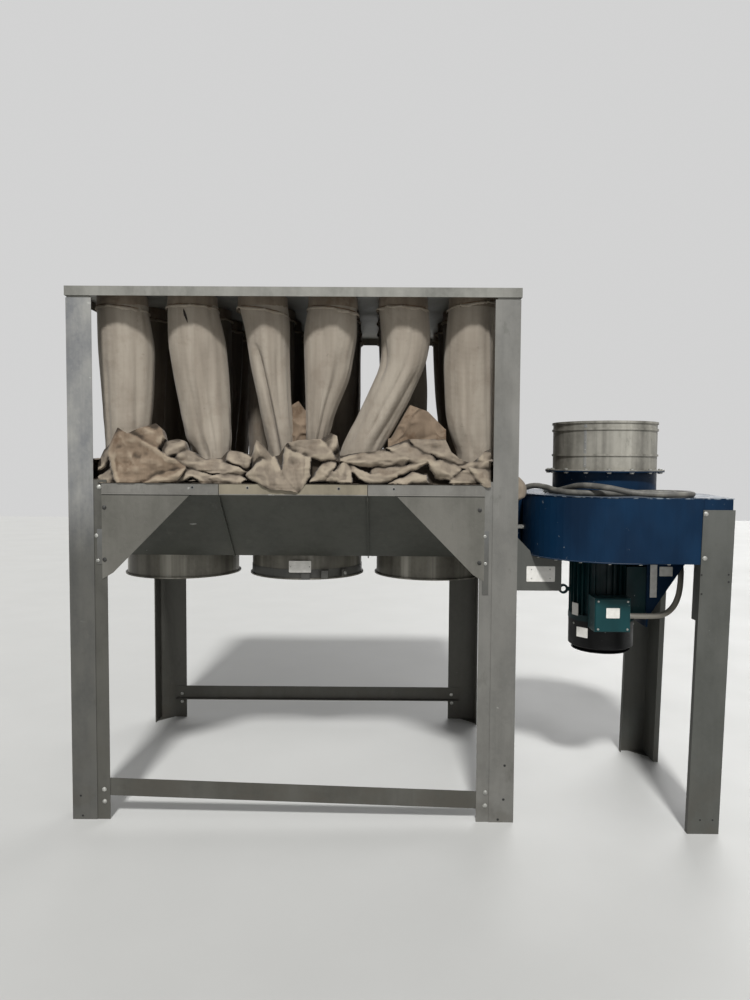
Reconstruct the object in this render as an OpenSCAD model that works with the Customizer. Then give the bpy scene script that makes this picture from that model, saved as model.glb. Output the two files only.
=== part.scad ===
// Open-bag fabric dust collector, lowered for storage, with its side-mounted horizontal fan.
// Millimetres, +Z up, floor at z = 0. The front, where a fan leg stands forward, is -Y.

/* [Filter frame] */
// Room left and right of the bags' cells, out to the posts' outer faces
side_room = 20; // [10:1:60]
// Room before and behind the bags' cells, out to the posts' outer faces
end_room = 35; // [20:1:70]
// Height of the outer posts
post_h = 2156; // [2000:10:2400]
// Flange width of an outer post
post_flange = 103; // [90:1:110]
// Sheet thickness of posts, legs and braces
leg_t = 3; // [2:0.5:4]
// Rise of the inner legs over the deck
leg_over = 14; // [8:1:30]
// Flange of an inner leg along the front
leg_flange_x = 153; // [140:1:165]
// Flange of an inner leg along the side
leg_flange_y = 103; // [90:1:110]
// Width of the foot plate's two straight edges
foot_w = 78; // [50:1:90]

/* [Braces] */
// Height of a lower brace
brace_h = 74; // [50:1:90]
// Width of a brace's folded lip
brace_lip = 26; // [15:1:40]
// Overlap of a brace behind a leg flange
brace_lap = 60; // [40:1:80]
// Height of the front brace's middle over the floor
brace_front_z = 115; // [100:1:200]
// Tilt of the front brace, bolted one hole lower at the right
brace_tilt = 1.7; // [0:0.1:2]
// Height of the rear brace's middle over the floor
brace_rear_z = 149; // [100:1:250]

/* [Top panel] */
// Overhang of the tray past the posts
tray_over = 4; // [2:1:12]
// Height of the tray's folded lip
tray_lip = 38; // [30:1:50]
// Gap between the post tops and the tray's lip
tray_gap = 8; // [4:1:12]
// Sheet thickness of the tray
tray_t = 2.5; // [1.5:0.5:4]
// Height of the corner cleats inside the posts
cleat_h = 130; // [90:1:180]

/* [Bags] */
// Bags along the width
bag_cols = 6; // [4:1:6]
// Bags along the depth
bag_rows = 4; // [2:1:4]
// Distance between bag centres
bag_pitch = 300; // [270:5:305]
// Diameter of the cups under the tray that the bags are tied round
cup_d = 203; // [180:1:205]
// Height of a bag cup under the tray's sheet
cup_h = 42; // [30:1:60]
// Thickness of the slack cloth heaped on the deck
slack_h = 113; // [90:1:150]
// How far the cloth hangs down before the deck's front edge
cloth_drop = 75; // [60:1:90]

/* [Deck and hoppers] */
// Height of the deck's top face
deck_z = 1407; // [1390:1:1415]
// Height of the deck's folded edge
deck_lip = 45; // [35:1:60]
// Overlap of the deck's edge on the leg flanges
deck_lap = 20; // [10:1:30]
// Diameter of the bag openings in the deck
deck_hole_d = 190; // [150:5:200]
// Sheet thickness of hoppers and outlets
sheet_t = 2; // [1.5:0.5:3]
// Distance between the drum outlets
outlet_pitch = 609.6; // [590:0.1:620]
// Depth of the hoppers under the deck's top face
hopper_depth = 337; // [320:1:350]
// Depth of the hoppers' flat bottom
hopper_floor = 572; // [565:1:620]
// Height of the standing seams between hoppers
seam_h = 22; // [12:1:30]
// Thickness of the standing seams
seam_t = 5; // [3:1:8]
// Outer diameter of a drum outlet
outlet_d = 534; // [500:1:540]
// Length of a drum outlet under the hopper
outlet_h = 113; // [90:1:130]
// Width of the beads and flanges on an outlet
outlet_rim = 10; // [6:1:12]
// Height of the strap round the middle outlet
strap_h = 40; // [30:1:50]
// Thickness of the strap
strap_t = 2; // [1.5:0.5:3]

/* [Corner gussets] */
// Edge of a gusset along the deck
gusset_x = 362; // [300:1:400]
// Edge of a gusset down the leg
gusset_z = 350; // [300:1:400]
// Width of a gusset's blunt lower tip
gusset_tip = 44; // [30:1:60]

/* [Fan housing] */
// Distance from the frame's right side to the fan axis
fan_out = 452; // [430:1:480]
// Distance of the fan axis from the frame's middle, to the front
fan_front = 280; // [250:1:300]
// Drop from the deck's top face to the housing's underside
fan_drop = 312; // [300:1:325]
// Height of the housing
fan_h = 268; // [250:1:280]
// Radius of the scroll at the left
scroll_r = 362; // [340:1:370]
// Growth of the scroll's radius from the left round to the rear
scroll_grow = 158; // [140:1:170]
// Sheet thickness of the housing
fan_t = 3; // [2:0.5:4]
// Rim left round the air's way into the frame
duct_rim = 12; // [8:1:20]
// Diameter of the fan wheel
wheel_d = 600; // [500:5:620]
// Height of the fan wheel
wheel_h = 150; // [120:1:170]
// Thickness of the wheel's plates and blades
wheel_t = 4; // [3:0.5:6]
// Number of blades
blade_count = 10; // [8:1:12]
// Backward lean of the blades
blade_lean = 28; // [15:1:35]
// Diameter of the wheel's hub
hub_d = 110; // [90:1:120]
// Height of the wheel's hub
hub_h = 70; // [50:1:90]
// Diameter of the motor shaft
shaft_d = 60; // [40:1:65]
// Clear height under the wheel
wheel_gap = 30; // [20:1:40]

/* [Inlet] */
// Outer diameter of the inlet collar
inlet_d = 452; // [430:1:470]
// Sheet thickness of the inlet collar
inlet_t = 2; // [1.5:0.5:3]
// Height of the housing's neck under the collar
neck_h = 104; // [90:1:120]
// Height of the inlet collar
inlet_h = 214; // [190:1:230]
// Width of the collar's foot flange
inlet_flange = 33; // [25:1:40]
// Thickness of the foot flange
inlet_flange_t = 5; // [3:1:8]
// Height of the beads on the collar
bead_h = 9; // [6:1:12]
// How far the beads stand out
bead_out = 5; // [3:1:8]

/* [Motor] */
// Diameter of the motor frame over its fins
motor_d = 290; // [270:1:300]
// Length of the finned motor frame
motor_l = 300; // [280:1:320]
// Diameter of the fan cover
cover_d = 286; // [270:1:290]
// Length of the fan cover
cover_l = 136; // [120:1:150]
// Height of the motor's cooling fins
fin_h = 20; // [12:1:24]
// Thickness of a cooling fin
fin_t = 4; // [3:0.5:5]
// Number of cooling fins
fin_count = 32; // [24:1:40]
// Thickness of the motor's end bells
bell_h = 27; // [20:1:32]
// Distance from the motor's axis to its feet
motor_foot = 160; // [155:1:170]
// Width over the motor feet
motor_feet_w = 250; // [220:1:260]
// Width of one motor foot
foot_pad_w = 50; // [40:1:60]
// Outer diameter of the motor's lifting eye
eye_d = 44; // [36:1:50]
// Hole of the lifting eye
eye_hole = 24; // [18:1:28]
// Width of the terminal box
box_w = 153; // [130:1:160]
// Height of the terminal box
box_h = 146; // [130:1:160]
// Depth of the terminal box
box_depth = 100; // [80:1:110]
// Distance of the terminal box's middle from the motor's axis, to the left
box_left = 14; // [0:1:30]
// Distance of the terminal box's middle under the housing
box_drop = 247; // [235:1:255]

/* [Motor bracket] */
// Thickness of the bracket's plates
bracket_t = 8; // [6:1:12]
// Height of the bracket
bracket_h = 315; // [300:1:330]
// Width of the bracket's gussets under the housing
bracket_w = 190; // [160:1:200]

/* [Fan legs] */
// Front flange of a fan leg
fan_leg_w = 127; // [110:1:140]
// Side flange of a fan leg
fan_leg_d = 150; // [120:1:170]
// Distance of the front leg's top under the housing's top
fan_leg_short = 46; // [30:1:60]
// Distance of the front leg's outer face from the fan axis, to the front
fan_leg_front = 440; // [436:1:460]
// Distance of the legs' outer side from the fan axis
fan_leg_side = 395; // [380:1:410]
// Distance of the rear leg's outer face from the fan axis, to the rear
fan_leg_rear = 443; // [430:1:460]
// Lean of the fan legs' feet towards the frame
fan_leg_lean = 1.3; // [0:0.1:2]
// Lip folded back along a fan leg's front flange
fan_leg_lip = 26; // [20:1:30]
// Lip folded outwards along a fan leg's side flange
outer_lip = 22; // [15:1:25]
// Length of the side plate behind the front fan leg
side_plate_d = 345; // [300:1:380]
// Depth of the side plate under the housing
side_plate_h = 285; // [250:1:300]

/* [Fan bracket] */
// Reach of the grey bracket plates from the frame
shelf_w = 235; // [200:1:260]
// Depth of the bracket plates under the housing
shelf_h = 156; // [120:1:180]
// Distance of the front bracket plate from the fan axis, to the front
shelf_front = 138; // [120:1:150]
// Rise of the bracket plates beside the housing
shelf_rise = 118; // [100:1:130]

/* [Conduit] */
// Outer diameter of the motor conduit
cord_d = 25; // [22:1:28]

/* [Hidden] */
$fn = 64;

galvanised = [0.56, 0.56, 0.54];
dark_sheet = [0.36, 0.37, 0.35];
canvas = [0.64, 0.59, 0.53];
housing_blue = [0.08, 0.2, 0.34];
motor_teal = [0.06, 0.3, 0.3];
cover_black = [0.06, 0.06, 0.07];
conduit_grey = [0.6, 0.6, 0.56];

// Clearance between parts that lie side by side or on each other
fit_gap = 0.3;

frame_w = bag_cols * bag_pitch + 2 * side_room;
frame_d = bag_rows * bag_pitch + 2 * end_room;
fx = frame_w / 2;
fy = frame_d / 2;
inner_x = fx - leg_t;
inner_y = fy - leg_t;
clear_x = inner_x - leg_t;
clear_y = inner_y - leg_t;
tray_z = post_h + tray_gap;
tray_top = tray_z + tray_lip;
tray_x = fx + tray_over;
tray_y = fy + tray_over;
cup_z = tray_top - tray_t - cup_h;
leg_h = deck_z + leg_over;
slack_z = deck_z + slack_h;
hopper_z = deck_z - hopper_depth;
outlet_z = hopper_z - outlet_h;
fan_x = fx + fan_out;
fan_y = -fan_front;
fan_z = deck_z - fan_drop;
fan_top = fan_z + fan_h;
fan_leg_h = fan_top - fan_leg_short;
box_z = fan_z - box_drop;
box_x = fan_x - box_left;
neck_top = fan_top + neck_h;
scroll_start = 160;
scroll_end = 450;
duct_y = scroll_at(scroll_end)[1];
leg_corner_x = fan_x + fan_leg_side;
leg_face_y = fan_y - fan_leg_front;
rear_face_y = fan_y + fan_leg_rear;

// The middle of the whole part's box, which stands at the origin
mid_x = (max([for (a = [scroll_start:5:scroll_end]) scroll_at(a)[0]]) - tray_x) / 2;
mid_y = (tray_y + leg_face_y) / 2;

// A point of the scroll, whose radius grows evenly with the angle
function scroll_r_at(a) = scroll_r + scroll_grow * (a - 180) / 270;
function scroll_at(a, inset = 0) = [
    fan_x + (scroll_r_at(a) - inset) * cos(a),
    fan_y + (scroll_r_at(a) - inset) * sin(a)
];

// An angle section standing on the floor with its outer corner at x, y and its flanges inwards
module corner_angle(x, y, w, d, t, h) {
    sx = x > 0 ? 1 : -1;
    sy = y > 0 ? 1 : -1;
    translate([x, y, 0]) mirror([x > 0 ? 1 : 0, 0, 0]) mirror([0, y > 0 ? 1 : 0, 0]) {
        cube([w, t, h]);
        cube([t, d, h]);
    }
}

module foot_triangle(w) {
    linear_extrude(leg_t) polygon([[0, 0], [w, 0], [0, w]]);
}

module outer_post(sx, sy) {
    color(galvanised) corner_angle(sx * fx, sy * fy, post_flange, post_flange, leg_t, post_h);
}

module inner_leg(sx, sy) {
    color(galvanised) {
        corner_angle(sx * inner_x, sy * inner_y, leg_flange_x, leg_flange_y, leg_t, leg_h);
        translate([sx * clear_x, sy * clear_y, 0])
            mirror([sx > 0 ? 1 : 0, 0, 0]) mirror([0, sy > 0 ? 1 : 0, 0]) foot_triangle(foot_w);
    }
}

// A brace behind the leg flanges, with its lip folded inwards along the bottom
module brace(y_side, z_mid, tilt) {
    span = 2 * (inner_x - leg_flange_x + brace_lap);
    color(galvanised) translate([0, 0, z_mid]) rotate([0, tilt, 0])
        mirror([0, y_side > 0 ? 1 : 0, 0]) translate([-span / 2, -clear_y, -brace_h / 2]) {
            cube([span, leg_t, brace_h]);
            cube([span, brace_lip, leg_t]);
        }
}

// The sheet that closes the top
module top_panel() {
    color(galvanised) translate([-tray_x, -tray_y, tray_top - tray_t]) cube([2 * tray_x, 2 * tray_y, tray_t]);
}

// The rim folded down along the sheet's four edges
module top_rim() {
    color(galvanised) translate([0, 0, tray_z]) linear_extrude(tray_lip - tray_t) difference() {
        square([2 * tray_x, 2 * tray_y], center = true);
        square([2 * (tray_x - tray_t), 2 * (tray_y - tray_t)], center = true);
    }
}

// Angles that sit inside the posts and reach up to the tray's sheet
module top_cleats() {
    flange = post_flange - 12;
    color(dark_sheet) for (sx = [-1, 1], sy = [-1, 1])
        translate([0, 0, tray_top - tray_t - cleat_h])
            corner_angle(sx * inner_x, sy * inner_y, flange, flange, leg_t, cleat_h);
}

module bag_places(row) {
    for (col = [0:bag_cols - 1])
        translate([(col - (bag_cols - 1) / 2) * bag_pitch, (row - (bag_rows - 1) / 2) * bag_pitch, 0])
            children();
}

module bag_cups() {
    color(galvanised) for (row = [0:bag_rows - 1]) bag_places(row)
        translate([0, 0, cup_z]) cylinder(d = cup_d, h = cup_h);
}

// One deck panel from x0 to x1 with its front and rear edges folded down
module deck_panel(x0, x1, first_col) {
    edge_x = inner_x - leg_flange_x;
    color(dark_sheet) difference() {
        union() {
            translate([max(x0, -clear_x), -clear_y, deck_z - leg_t])
                cube([min(x1, clear_x) - max(x0, -clear_x), 2 * clear_y, leg_t]);
            translate([max(x0, -edge_x), -inner_y, deck_z - leg_t])
                cube([min(x1, edge_x) - max(x0, -edge_x), 2 * inner_y, leg_t]);
            for (sy = [-1, 1]) {
                a = max(x0, -edge_x - deck_lap);
                b = min(x1, edge_x + deck_lap);
                translate([a, sy > 0 ? inner_y : -fy, deck_z - deck_lip]) cube([b - a, leg_t, deck_lip]);
            }
            if (x0 < -clear_x || x1 > clear_x) {
                side = x0 < -clear_x ? -inner_x : clear_x;
                run = 2 * (inner_y - leg_flange_y);
                translate([side, -run / 2, deck_z - deck_lip]) cube([leg_t, run, deck_lip]);
            }
        }
        for (row = [0:bag_rows - 1], col = [first_col:first_col + 1])
            translate([(col - (bag_cols - 1) / 2) * bag_pitch, (row - (bag_rows - 1) / 2) * bag_pitch, 0])
                translate([0, 0, deck_z - 2 * leg_t]) cylinder(d = deck_hole_d, h = 3 * leg_t);
    }
}

// The trapezoid of a hopper in the YZ plane, drawn inset by a wall
module hopper_profile(inset) {
    top = deck_z - leg_t;
    slope_z = deck_z - deck_lip;
    polygon([
        [-clear_y + inset, top], [clear_y - inset, top],
        [clear_y - inset, slope_z + inset * 0.4], [hopper_floor / 2 - inset * 0.4, hopper_z + inset],
        [-hopper_floor / 2 + inset * 0.4, hopper_z + inset], [-clear_y + inset, slope_z + inset * 0.4]
    ]);
}

module along_x(x0, x1) {
    translate([x0, 0, 0]) rotate([90, 0, 90]) linear_extrude(x1 - x0) children();
}

// A hopper between x0 and x1 with its round outlet opening at x_mid
module hopper(x0, x1, x_mid) {
    color(dark_sheet) difference() {
        along_x(x0, x1) hopper_profile(0);
        difference() {
            along_x(x0 + sheet_t, x1 - sheet_t) hopper_profile(sheet_t);
            translate([x0, -fy, hopper_z - sheet_t]) cube([x1 - x0, frame_d, 2 * sheet_t]);
        }
        translate([x0 + sheet_t, -clear_y + sheet_t, deck_z - leg_t - 1])
            cube([x1 - x0 - 2 * sheet_t, 2 * (clear_y - sheet_t), 2]);
        translate([x_mid, 0, hopper_z - 1]) cylinder(d = outlet_d - 2 * sheet_t, h = 2 * sheet_t);
        if (x1 > outlet_pitch) duct_cut(x1 - sheet_t, sheet_t);
    }
}

// The standing seam between two hoppers, which follows both slopes
module hopper_seam(x) {
    slope_z = deck_z - deck_lip;
    color(dark_sheet) for (sy = [-1, 1])
        along_x(x - seam_t / 2, x + seam_t / 2) polygon([
            [sy * clear_y, slope_z], [sy * hopper_floor / 2, hopper_z],
            [sy * (hopper_floor / 2 + seam_h * 0.4), hopper_z - seam_h * 0.4],
            [sy * (clear_y - seam_h * 0.3), slope_z - seam_h]
        ]);
}

module hopper_middle() {
    hopper(-outlet_pitch / 2, outlet_pitch / 2, 0);
    for (sx = [-1, 1]) hopper_seam(sx * outlet_pitch / 2);
}

module outlet(x_mid) {
    color(galvanised) translate([x_mid, 0, outlet_z]) difference() {
        union() {
            cylinder(d = outlet_d, h = hopper_z - outlet_z);
            cylinder(d = outlet_d + 2 * outlet_rim, h = 6);
            translate([0, 0, hopper_z - outlet_z - leg_t]) cylinder(d = outlet_d + 2 * outlet_rim, h = leg_t);
        }
        translate([0, 0, -1]) cylinder(d = outlet_d - 2 * sheet_t, h = hopper_z - outlet_z + 2);
    }
}

module outlet_strap() {
    color(galvanised) translate([0, 0, outlet_z + 6]) difference() {
        union() {
            cylinder(d = outlet_d + 2 * strap_t, h = strap_h);
            translate([90, -outlet_d / 2 - 16, 2]) cube([30, 30, strap_h - 4]);
        }
        translate([0, 0, -1]) cylinder(d = outlet_d, h = strap_h + 2);
    }
}

module gussets(sy) {
    edge_x = inner_x - leg_flange_x + deck_lap;
    top = deck_z - deck_lip;
    color(galvanised) for (sx = [-1, 1])
        translate([0, sy > 0 ? fy : -inner_y, 0]) rotate([90, 0, 0]) linear_extrude(leg_t)
            polygon([
                [sx * edge_x, top], [sx * (edge_x - gusset_x), top],
                [sx * (edge_x - gusset_tip), top - gusset_z + gusset_tip * 0.6],
                [sx * edge_x, top - gusset_z]
            ]);
}

// A closed cloth form through rings [x, y, z, half width, half depth], lowest ring first
module cloth_loft(rings, sides = 12) {
    n = len(rings);
    points = [for (r = rings, i = [0:sides - 1])
        [r[0] + r[3] * cos(i * 360 / sides), r[1] + r[4] * sin(i * 360 / sides), r[2]]];
    walls = [for (k = [0:n - 2], i = [0:sides - 1])
        [k * sides + i, (k + 1) * sides + i, (k + 1) * sides + (i + 1) % sides, k * sides + (i + 1) % sides]];
    polyhedron(concat(points), concat(
        walls,
        [[for (i = [0:sides - 1]) i]],
        [[for (i = [sides - 1:-1:0]) (n - 1) * sides + i]]
    ));
}

// The form of each bag in the front row, from its foot up: share of the hanging length measured
// from the cup down, shift to the right, half width, half depth
front_forms = [
    [[1, 12, 90, 88], [0.62, 16, 110, 92], [0.29, 16, 120, 96]],
    [[1, 87, 61, 80], [0.82, 57, 100, 86], [0.5, 37, 116, 92], [0.26, 19, 122, 96]],
    [[1, 85, 55, 60], [0.62, 49, 71, 84], [0.39, 30, 86, 90], [0.11, 17, 99, 98]],
    [[1, -80, 34, 50], [0.69, -50, 65, 76], [0.48, -23, 97, 88], [0.19, -8, 116, 96]],
    [[1, -192, 89, 70], [0.66, -77, 97, 84], [0.39, 3, 97, 90], [0.21, 15, 105, 94]],
    [[1, 30, 84, 80], [0.75, 4, 116, 88], [0.38, -3, 120, 92]]
];

// The bags behind hang nearly alike, each leaning a little to one side
back_leans = [
    [-15, 10, -20, -30, 30, 25],
    [10, -25, 15, -20, 20, 30],
    [20, -10, 25, -10, 25, 45]
];
function back_form(lean) = [[1, lean, 92, 88], [0.5, lean * 0.5, 108, 92]];

// Upper, hanging length of a bag, from the slack cloth up to its cup
module hanging_bag(form) {
    hem_z = cup_z - fit_gap;
    span = hem_z - slack_z - fit_gap;
    r = cup_d / 2 + 3;
    cloth_loft(concat([for (f = form) [f[1], 0, hem_z - f[0] * span, f[2], f[3]]], [[0, 0, hem_z, r, r]]));
}

module bags_row(row, forms) {
    color(canvas) for (col = [0:bag_cols - 1])
        translate([(col - (bag_cols - 1) / 2) * bag_pitch, (row - (bag_rows - 1) / 2) * bag_pitch, 0])
            hanging_bag(forms[col]);
}

module bags_behind(row) {
    bags_row(row, [for (lean = back_leans[row - 1]) back_form(lean)]);
}

// The heap's half width and half depth on the deck
heap_x = clear_x - 16;
heap_y = clear_y - 6;

// Height of the heaped cloth, which sinks towards its rim and between the bags
function heap_at(x, y) = let (
    rim = min(heap_x - abs(x), heap_y - abs(y)),
    rise = min(1, 0.4 + (rim + 12 * sin(3 * x) + 9 * sin(5 * y)) / 60),
    sink = 2 + cos(360 * x / bag_pitch) + cos(360 * y / bag_pitch),
    ripple = 1 + sin(2.3 * x + 1.7 * y)
) deck_z + slack_h * max(0.3, rise) * (1 - 0.08 * sink - 0.02 * ripple);

// The slack lower cloth of all bags, heaped on the deck
module bag_slack() {
    nx = 24;
    ny = 18;
    function x_of(i) = heap_x * (2 * i / nx - 1);
    function y_of(j) = heap_y * (2 * j / ny - 1);
    function top_id(i, j) = i * (ny + 1) + j;
    sides = [
        [for (i = [0:nx]) top_id(i, 0)], [for (j = [0:ny]) top_id(nx, j)],
        [for (i = [nx:-1:0]) top_id(i, ny)], [for (j = [ny:-1:0]) top_id(0, j)],
    ];
    low = (nx + 1) * (ny + 1);
    points = concat(
        [for (i = [0:nx], j = [0:ny]) [x_of(i), y_of(j), heap_at(x_of(i), y_of(j))]],
        [for (c = [[-1, -1], [1, -1], [1, 1], [-1, 1]]) [c[0] * heap_x, c[1] * heap_y, deck_z]]
    );
    top = [for (i = [0:nx - 1], j = [0:ny - 1], half = [0, 1])
        half == 0 ? [top_id(i, j), top_id(i, j + 1), top_id(i + 1, j + 1)]
            : [top_id(i, j), top_id(i + 1, j + 1), top_id(i + 1, j)]];
    walls = [for (k = [0:3]) concat([low + k], sides[k], [low + (k + 1) % 4])];
    color(canvas) polyhedron(points, concat(top, walls, [[for (k = [0:3]) low + k]]));
}

// The big fold that stands up from the heap before the first bags
module bag_lump() {
    x = (1 - bag_cols) / 2 * bag_pitch + 115;
    y = (1 - bag_rows) / 2 * bag_pitch - 134;
    z = slack_z + fit_gap;
    color(canvas) cloth_loft([[x, y, z, 118, 30], [x - 6, y, z + 60, 104, 28], [x - 14, y, z + 128, 52, 14]]);
}

// Cloth that hangs over the deck's front edge, drawn as its outline from the front
module bag_over_edge() {
    top = deck_z + 45;
    color(canvas) {
        translate([0, -fy - fit_gap, 0]) rotate([90, 0, 0]) linear_extrude(18) polygon([
            [-178, deck_z + 12], [-160, top], [40, top], [69, deck_z + 6], [62, deck_z - 8],
            [30, top - cloth_drop], [-6, top - cloth_drop + 4], [-70, deck_z - 22], [-110, deck_z - 24]
        ]);
        translate([-150, -fy - fit_gap, deck_z + fit_gap]) cube([180, fy - heap_y, top - deck_z - fit_gap]);
    }
}

// Cloth that slipped off the deck's right side and hangs beside the post
module bag_beside() {
    y0 = -inner_y + leg_flange_y + 4;
    z = deck_z + fit_gap;
    side = fx + 2 * fit_gap;
    color(canvas) translate([0, y0 + 120, 0]) rotate([90, 0, 0]) linear_extrude(120) polygon([
        [clear_x - 14, z], [side, z], [side, deck_z - 62], [fx + 22, deck_z - 84],
        [fx + 62, deck_z - 74], [fx + 70, deck_z - 8], [fx + 42, deck_z + 42], [clear_x - 14, deck_z + 42]
    ]);
}

// The housing's plan as one outline, inset by a wall, with the duct that leads into the frame
module housing_plan(inset) {
    tongue = scroll_at(scroll_start) + [1.35 * inset, inset];
    arc = [for (a = [scroll_start + 5:5:scroll_end]) scroll_at(a, inset)];
    polygon(concat([[fx, tongue[1]], tongue], arc, [[fx, duct_y - inset]]));
}

module fan_scroll() {
    color(housing_blue) translate([0, 0, fan_z + fan_t]) linear_extrude(fan_h - 2 * fan_t) difference() {
        housing_plan(0);
        housing_plan(fan_t);
    }
}

module fan_top_plate() {
    arc = [for (a = [350:5:scroll_end]) scroll_at(a)];
    front = [for (a = [scroll_start:5:270]) scroll_at(a)];
    color(housing_blue) translate([0, 0, fan_top - fan_t]) difference() {
        linear_extrude(fan_t) polygon(concat(
            [[fx, front[0][1]]], front,
            [[leg_corner_x - leg_t, leg_face_y + leg_t]], arc, [[fx, duct_y]]
        ));
        translate([fan_x, fan_y, -1]) cylinder(d = inlet_d - 2 * inlet_t, h = fan_t + 2);
    }
}

module fan_bottom_plate() {
    color(housing_blue) translate([0, 0, fan_z]) linear_extrude(fan_t) difference() {
        union() {
            housing_plan(0);
            translate([leg_corner_x - fan_leg_w, fan_y, 0]) square([fan_leg_w, fan_leg_rear]);
        }
        translate([fan_x, fan_y]) circle(d = 70);
    }
}

// The box section at the housing's front right, which the front leg is bolted to
module fan_corner() {
    lean_room = (fan_leg_h - fan_z) * sin(fan_leg_lean) + 0.3;
    w = fan_leg_w - 2 * leg_t - lean_room;
    x0 = leg_corner_x - fan_leg_w + leg_t;
    color(housing_blue) translate([0, 0, fan_z + fan_t]) linear_extrude(fan_h - 2 * fan_t) difference() {
        translate([x0, leg_face_y + leg_t]) square([w, 240]);
        translate([x0 + fan_t, leg_face_y + leg_t + fan_t]) square([w - 2 * fan_t, 240]);
        housing_plan(0);
    }
}

module fan_neck() {
    color(housing_blue) translate([fan_x, fan_y, fan_top]) difference() {
        union() {
            cylinder(d = inlet_d, h = neck_h);
            translate([0, 0, neck_h - inlet_flange_t]) cylinder(d = inlet_d + 2 * inlet_flange, h = inlet_flange_t);
        }
        translate([0, 0, -1]) cylinder(d = inlet_d - 2 * fan_t, h = neck_h + 2);
    }
}

module inlet_collar() {
    color(galvanised) translate([fan_x, fan_y, neck_top]) difference() {
        union() {
            cylinder(d = inlet_d, h = inlet_h);
            cylinder(d = inlet_d + 2 * inlet_flange, h = inlet_flange_t);
            for (z = [inlet_h * 0.3, inlet_h * 0.82, inlet_h - bead_h])
                translate([0, 0, z]) cylinder(d = inlet_d + 2 * bead_out, h = bead_h);
        }
        translate([0, 0, -1]) cylinder(d = inlet_d - 2 * inlet_t, h = inlet_h + 2);
    }
}

// The fan wheel's back plate with its hub, on the motor shaft
module fan_wheel() {
    color(housing_blue) translate([fan_x, fan_y, fan_z + wheel_gap]) {
        cylinder(d = wheel_d, h = wheel_t);
        cylinder(d = hub_d, h = hub_h);
        translate([0, 0, -wheel_gap]) cylinder(d = shaft_d, h = wheel_gap);
    }
}

// Flat blades between the back plate and the front ring, leaning backwards
module wheel_blades() {
    color(housing_blue) translate([fan_x, fan_y, fan_z + wheel_gap + wheel_t])
        for (i = [0:blade_count - 1])
            rotate([0, 0, i * 360 / blade_count]) translate([wheel_d * 0.2, 0, 0]) rotate([0, 0, blade_lean])
                translate([0, -wheel_t / 2, 0]) cube([wheel_d * 0.26, wheel_t, wheel_h - 2 * wheel_t]);
}

module wheel_ring() {
    color(housing_blue) translate([fan_x, fan_y, fan_z + wheel_gap + wheel_h - wheel_t]) difference() {
        cylinder(d = wheel_d, h = wheel_t);
        translate([0, 0, -1]) cylinder(d = wheel_d * 0.7, h = wheel_t + 2);
    }
}

// The air's way from the housing into the right hopper, through a wall at x of thickness t
module duct_cut(x, t) {
    y0 = scroll_at(scroll_start)[1] + duct_rim;
    translate([x - 1, y0, fan_z + duct_rim]) cube([t + 2, duct_y - duct_rim - y0, fan_h - 2 * duct_rim]);
}

// The panel on the frame's right side that takes the duct and the bracket plates
module fan_side_panel() {
    d = 2 * (inner_y - leg_flange_y) - 2;
    z0 = fan_z - shelf_h;
    color(galvanised) difference() {
        translate([inner_x, -d / 2, z0]) cube([leg_t, d, deck_z - z0]);
        duct_cut(inner_x, leg_t);
    }
}

// Two grey plates that carry the housing's left side, tied by a strip under it
module fan_bracket() {
    z0 = fan_z - shelf_h;
    notch_x = scroll_at(200)[0] - fx;
    y_front = fan_y - shelf_front;
    y_rear = duct_y + fit_gap + leg_t;
    tie_w = 30;
    color(galvanised) {
        for (y = [y_front, y_rear])
            translate([fx, y, 0]) rotate([90, 0, 0]) linear_extrude(leg_t) polygon([
                [0, z0], [shelf_w, z0], [shelf_w, fan_z - fit_gap], [notch_x, fan_z - fit_gap],
                [notch_x - 5, fan_z + 20], [0, fan_z + shelf_rise]
            ]);
        translate([fx + shelf_w - tie_w, y_front - leg_t / 2, z0]) cube([tie_w, y_rear - y_front - leg_t / 2, leg_t]);
    }
}

// The motor's finned frame between its two end bells
module motor_frame() {
    body_d = motor_d - 2 * fin_h;
    color(motor_teal) translate([fan_x, fan_y, fan_z - motor_l]) {
        cylinder(d = body_d, h = motor_l);
        cylinder(d = motor_d, h = bell_h);
        translate([0, 0, motor_l - bell_h]) cylinder(d = motor_d, h = bell_h);
        for (i = [0:fin_count - 1])
            rotate([0, 0, (i + 0.5) * 360 / fin_count]) translate([body_d / 2 - 4, -fin_t / 2, bell_h - 1])
                cube([fin_h + 2, fin_t, motor_l - 2 * bell_h + 2]);
    }
}

// Two feet from the frame's side to the mounting plate
module motor_feet() {
    foot_l = motor_l - 80;
    z0 = fan_z - motor_l + bell_h + 3;
    color(motor_teal) difference() {
        for (sy = [-1, 1])
            translate([fan_x + 60, fan_y + (sy > 0 ? motor_feet_w / 2 - foot_pad_w : -motor_feet_w / 2), z0])
                cube([motor_foot - 60, foot_pad_w, foot_l]);
        translate([fan_x, fan_y, z0 - 1]) cylinder(d = motor_d + 2 * fit_gap, h = foot_l + 2);
    }
}

// The lifting eye on the frame's left side, its stem seated between two fins
module motor_eye() {
    eye_t = 12;
    x = fan_x - motor_d / 2 - eye_d / 2 - 6;
    z = fan_z - motor_l + 130;
    stem_end = fan_x - motor_d / 2 + fin_h - fit_gap;
    stem_h = 18;
    color(motor_teal) difference() {
        union() {
            translate([x, fan_y - eye_t / 2, z]) rotate([-90, 0, 0]) cylinder(d = eye_d, h = eye_t);
            translate([x, fan_y - eye_t / 2, z - stem_h / 2]) cube([stem_end - x, eye_t, stem_h]);
        }
        translate([x, fan_y - eye_t, z]) rotate([-90, 0, 0]) cylinder(d = eye_hole, h = 2 * eye_t);
    }
}

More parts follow.
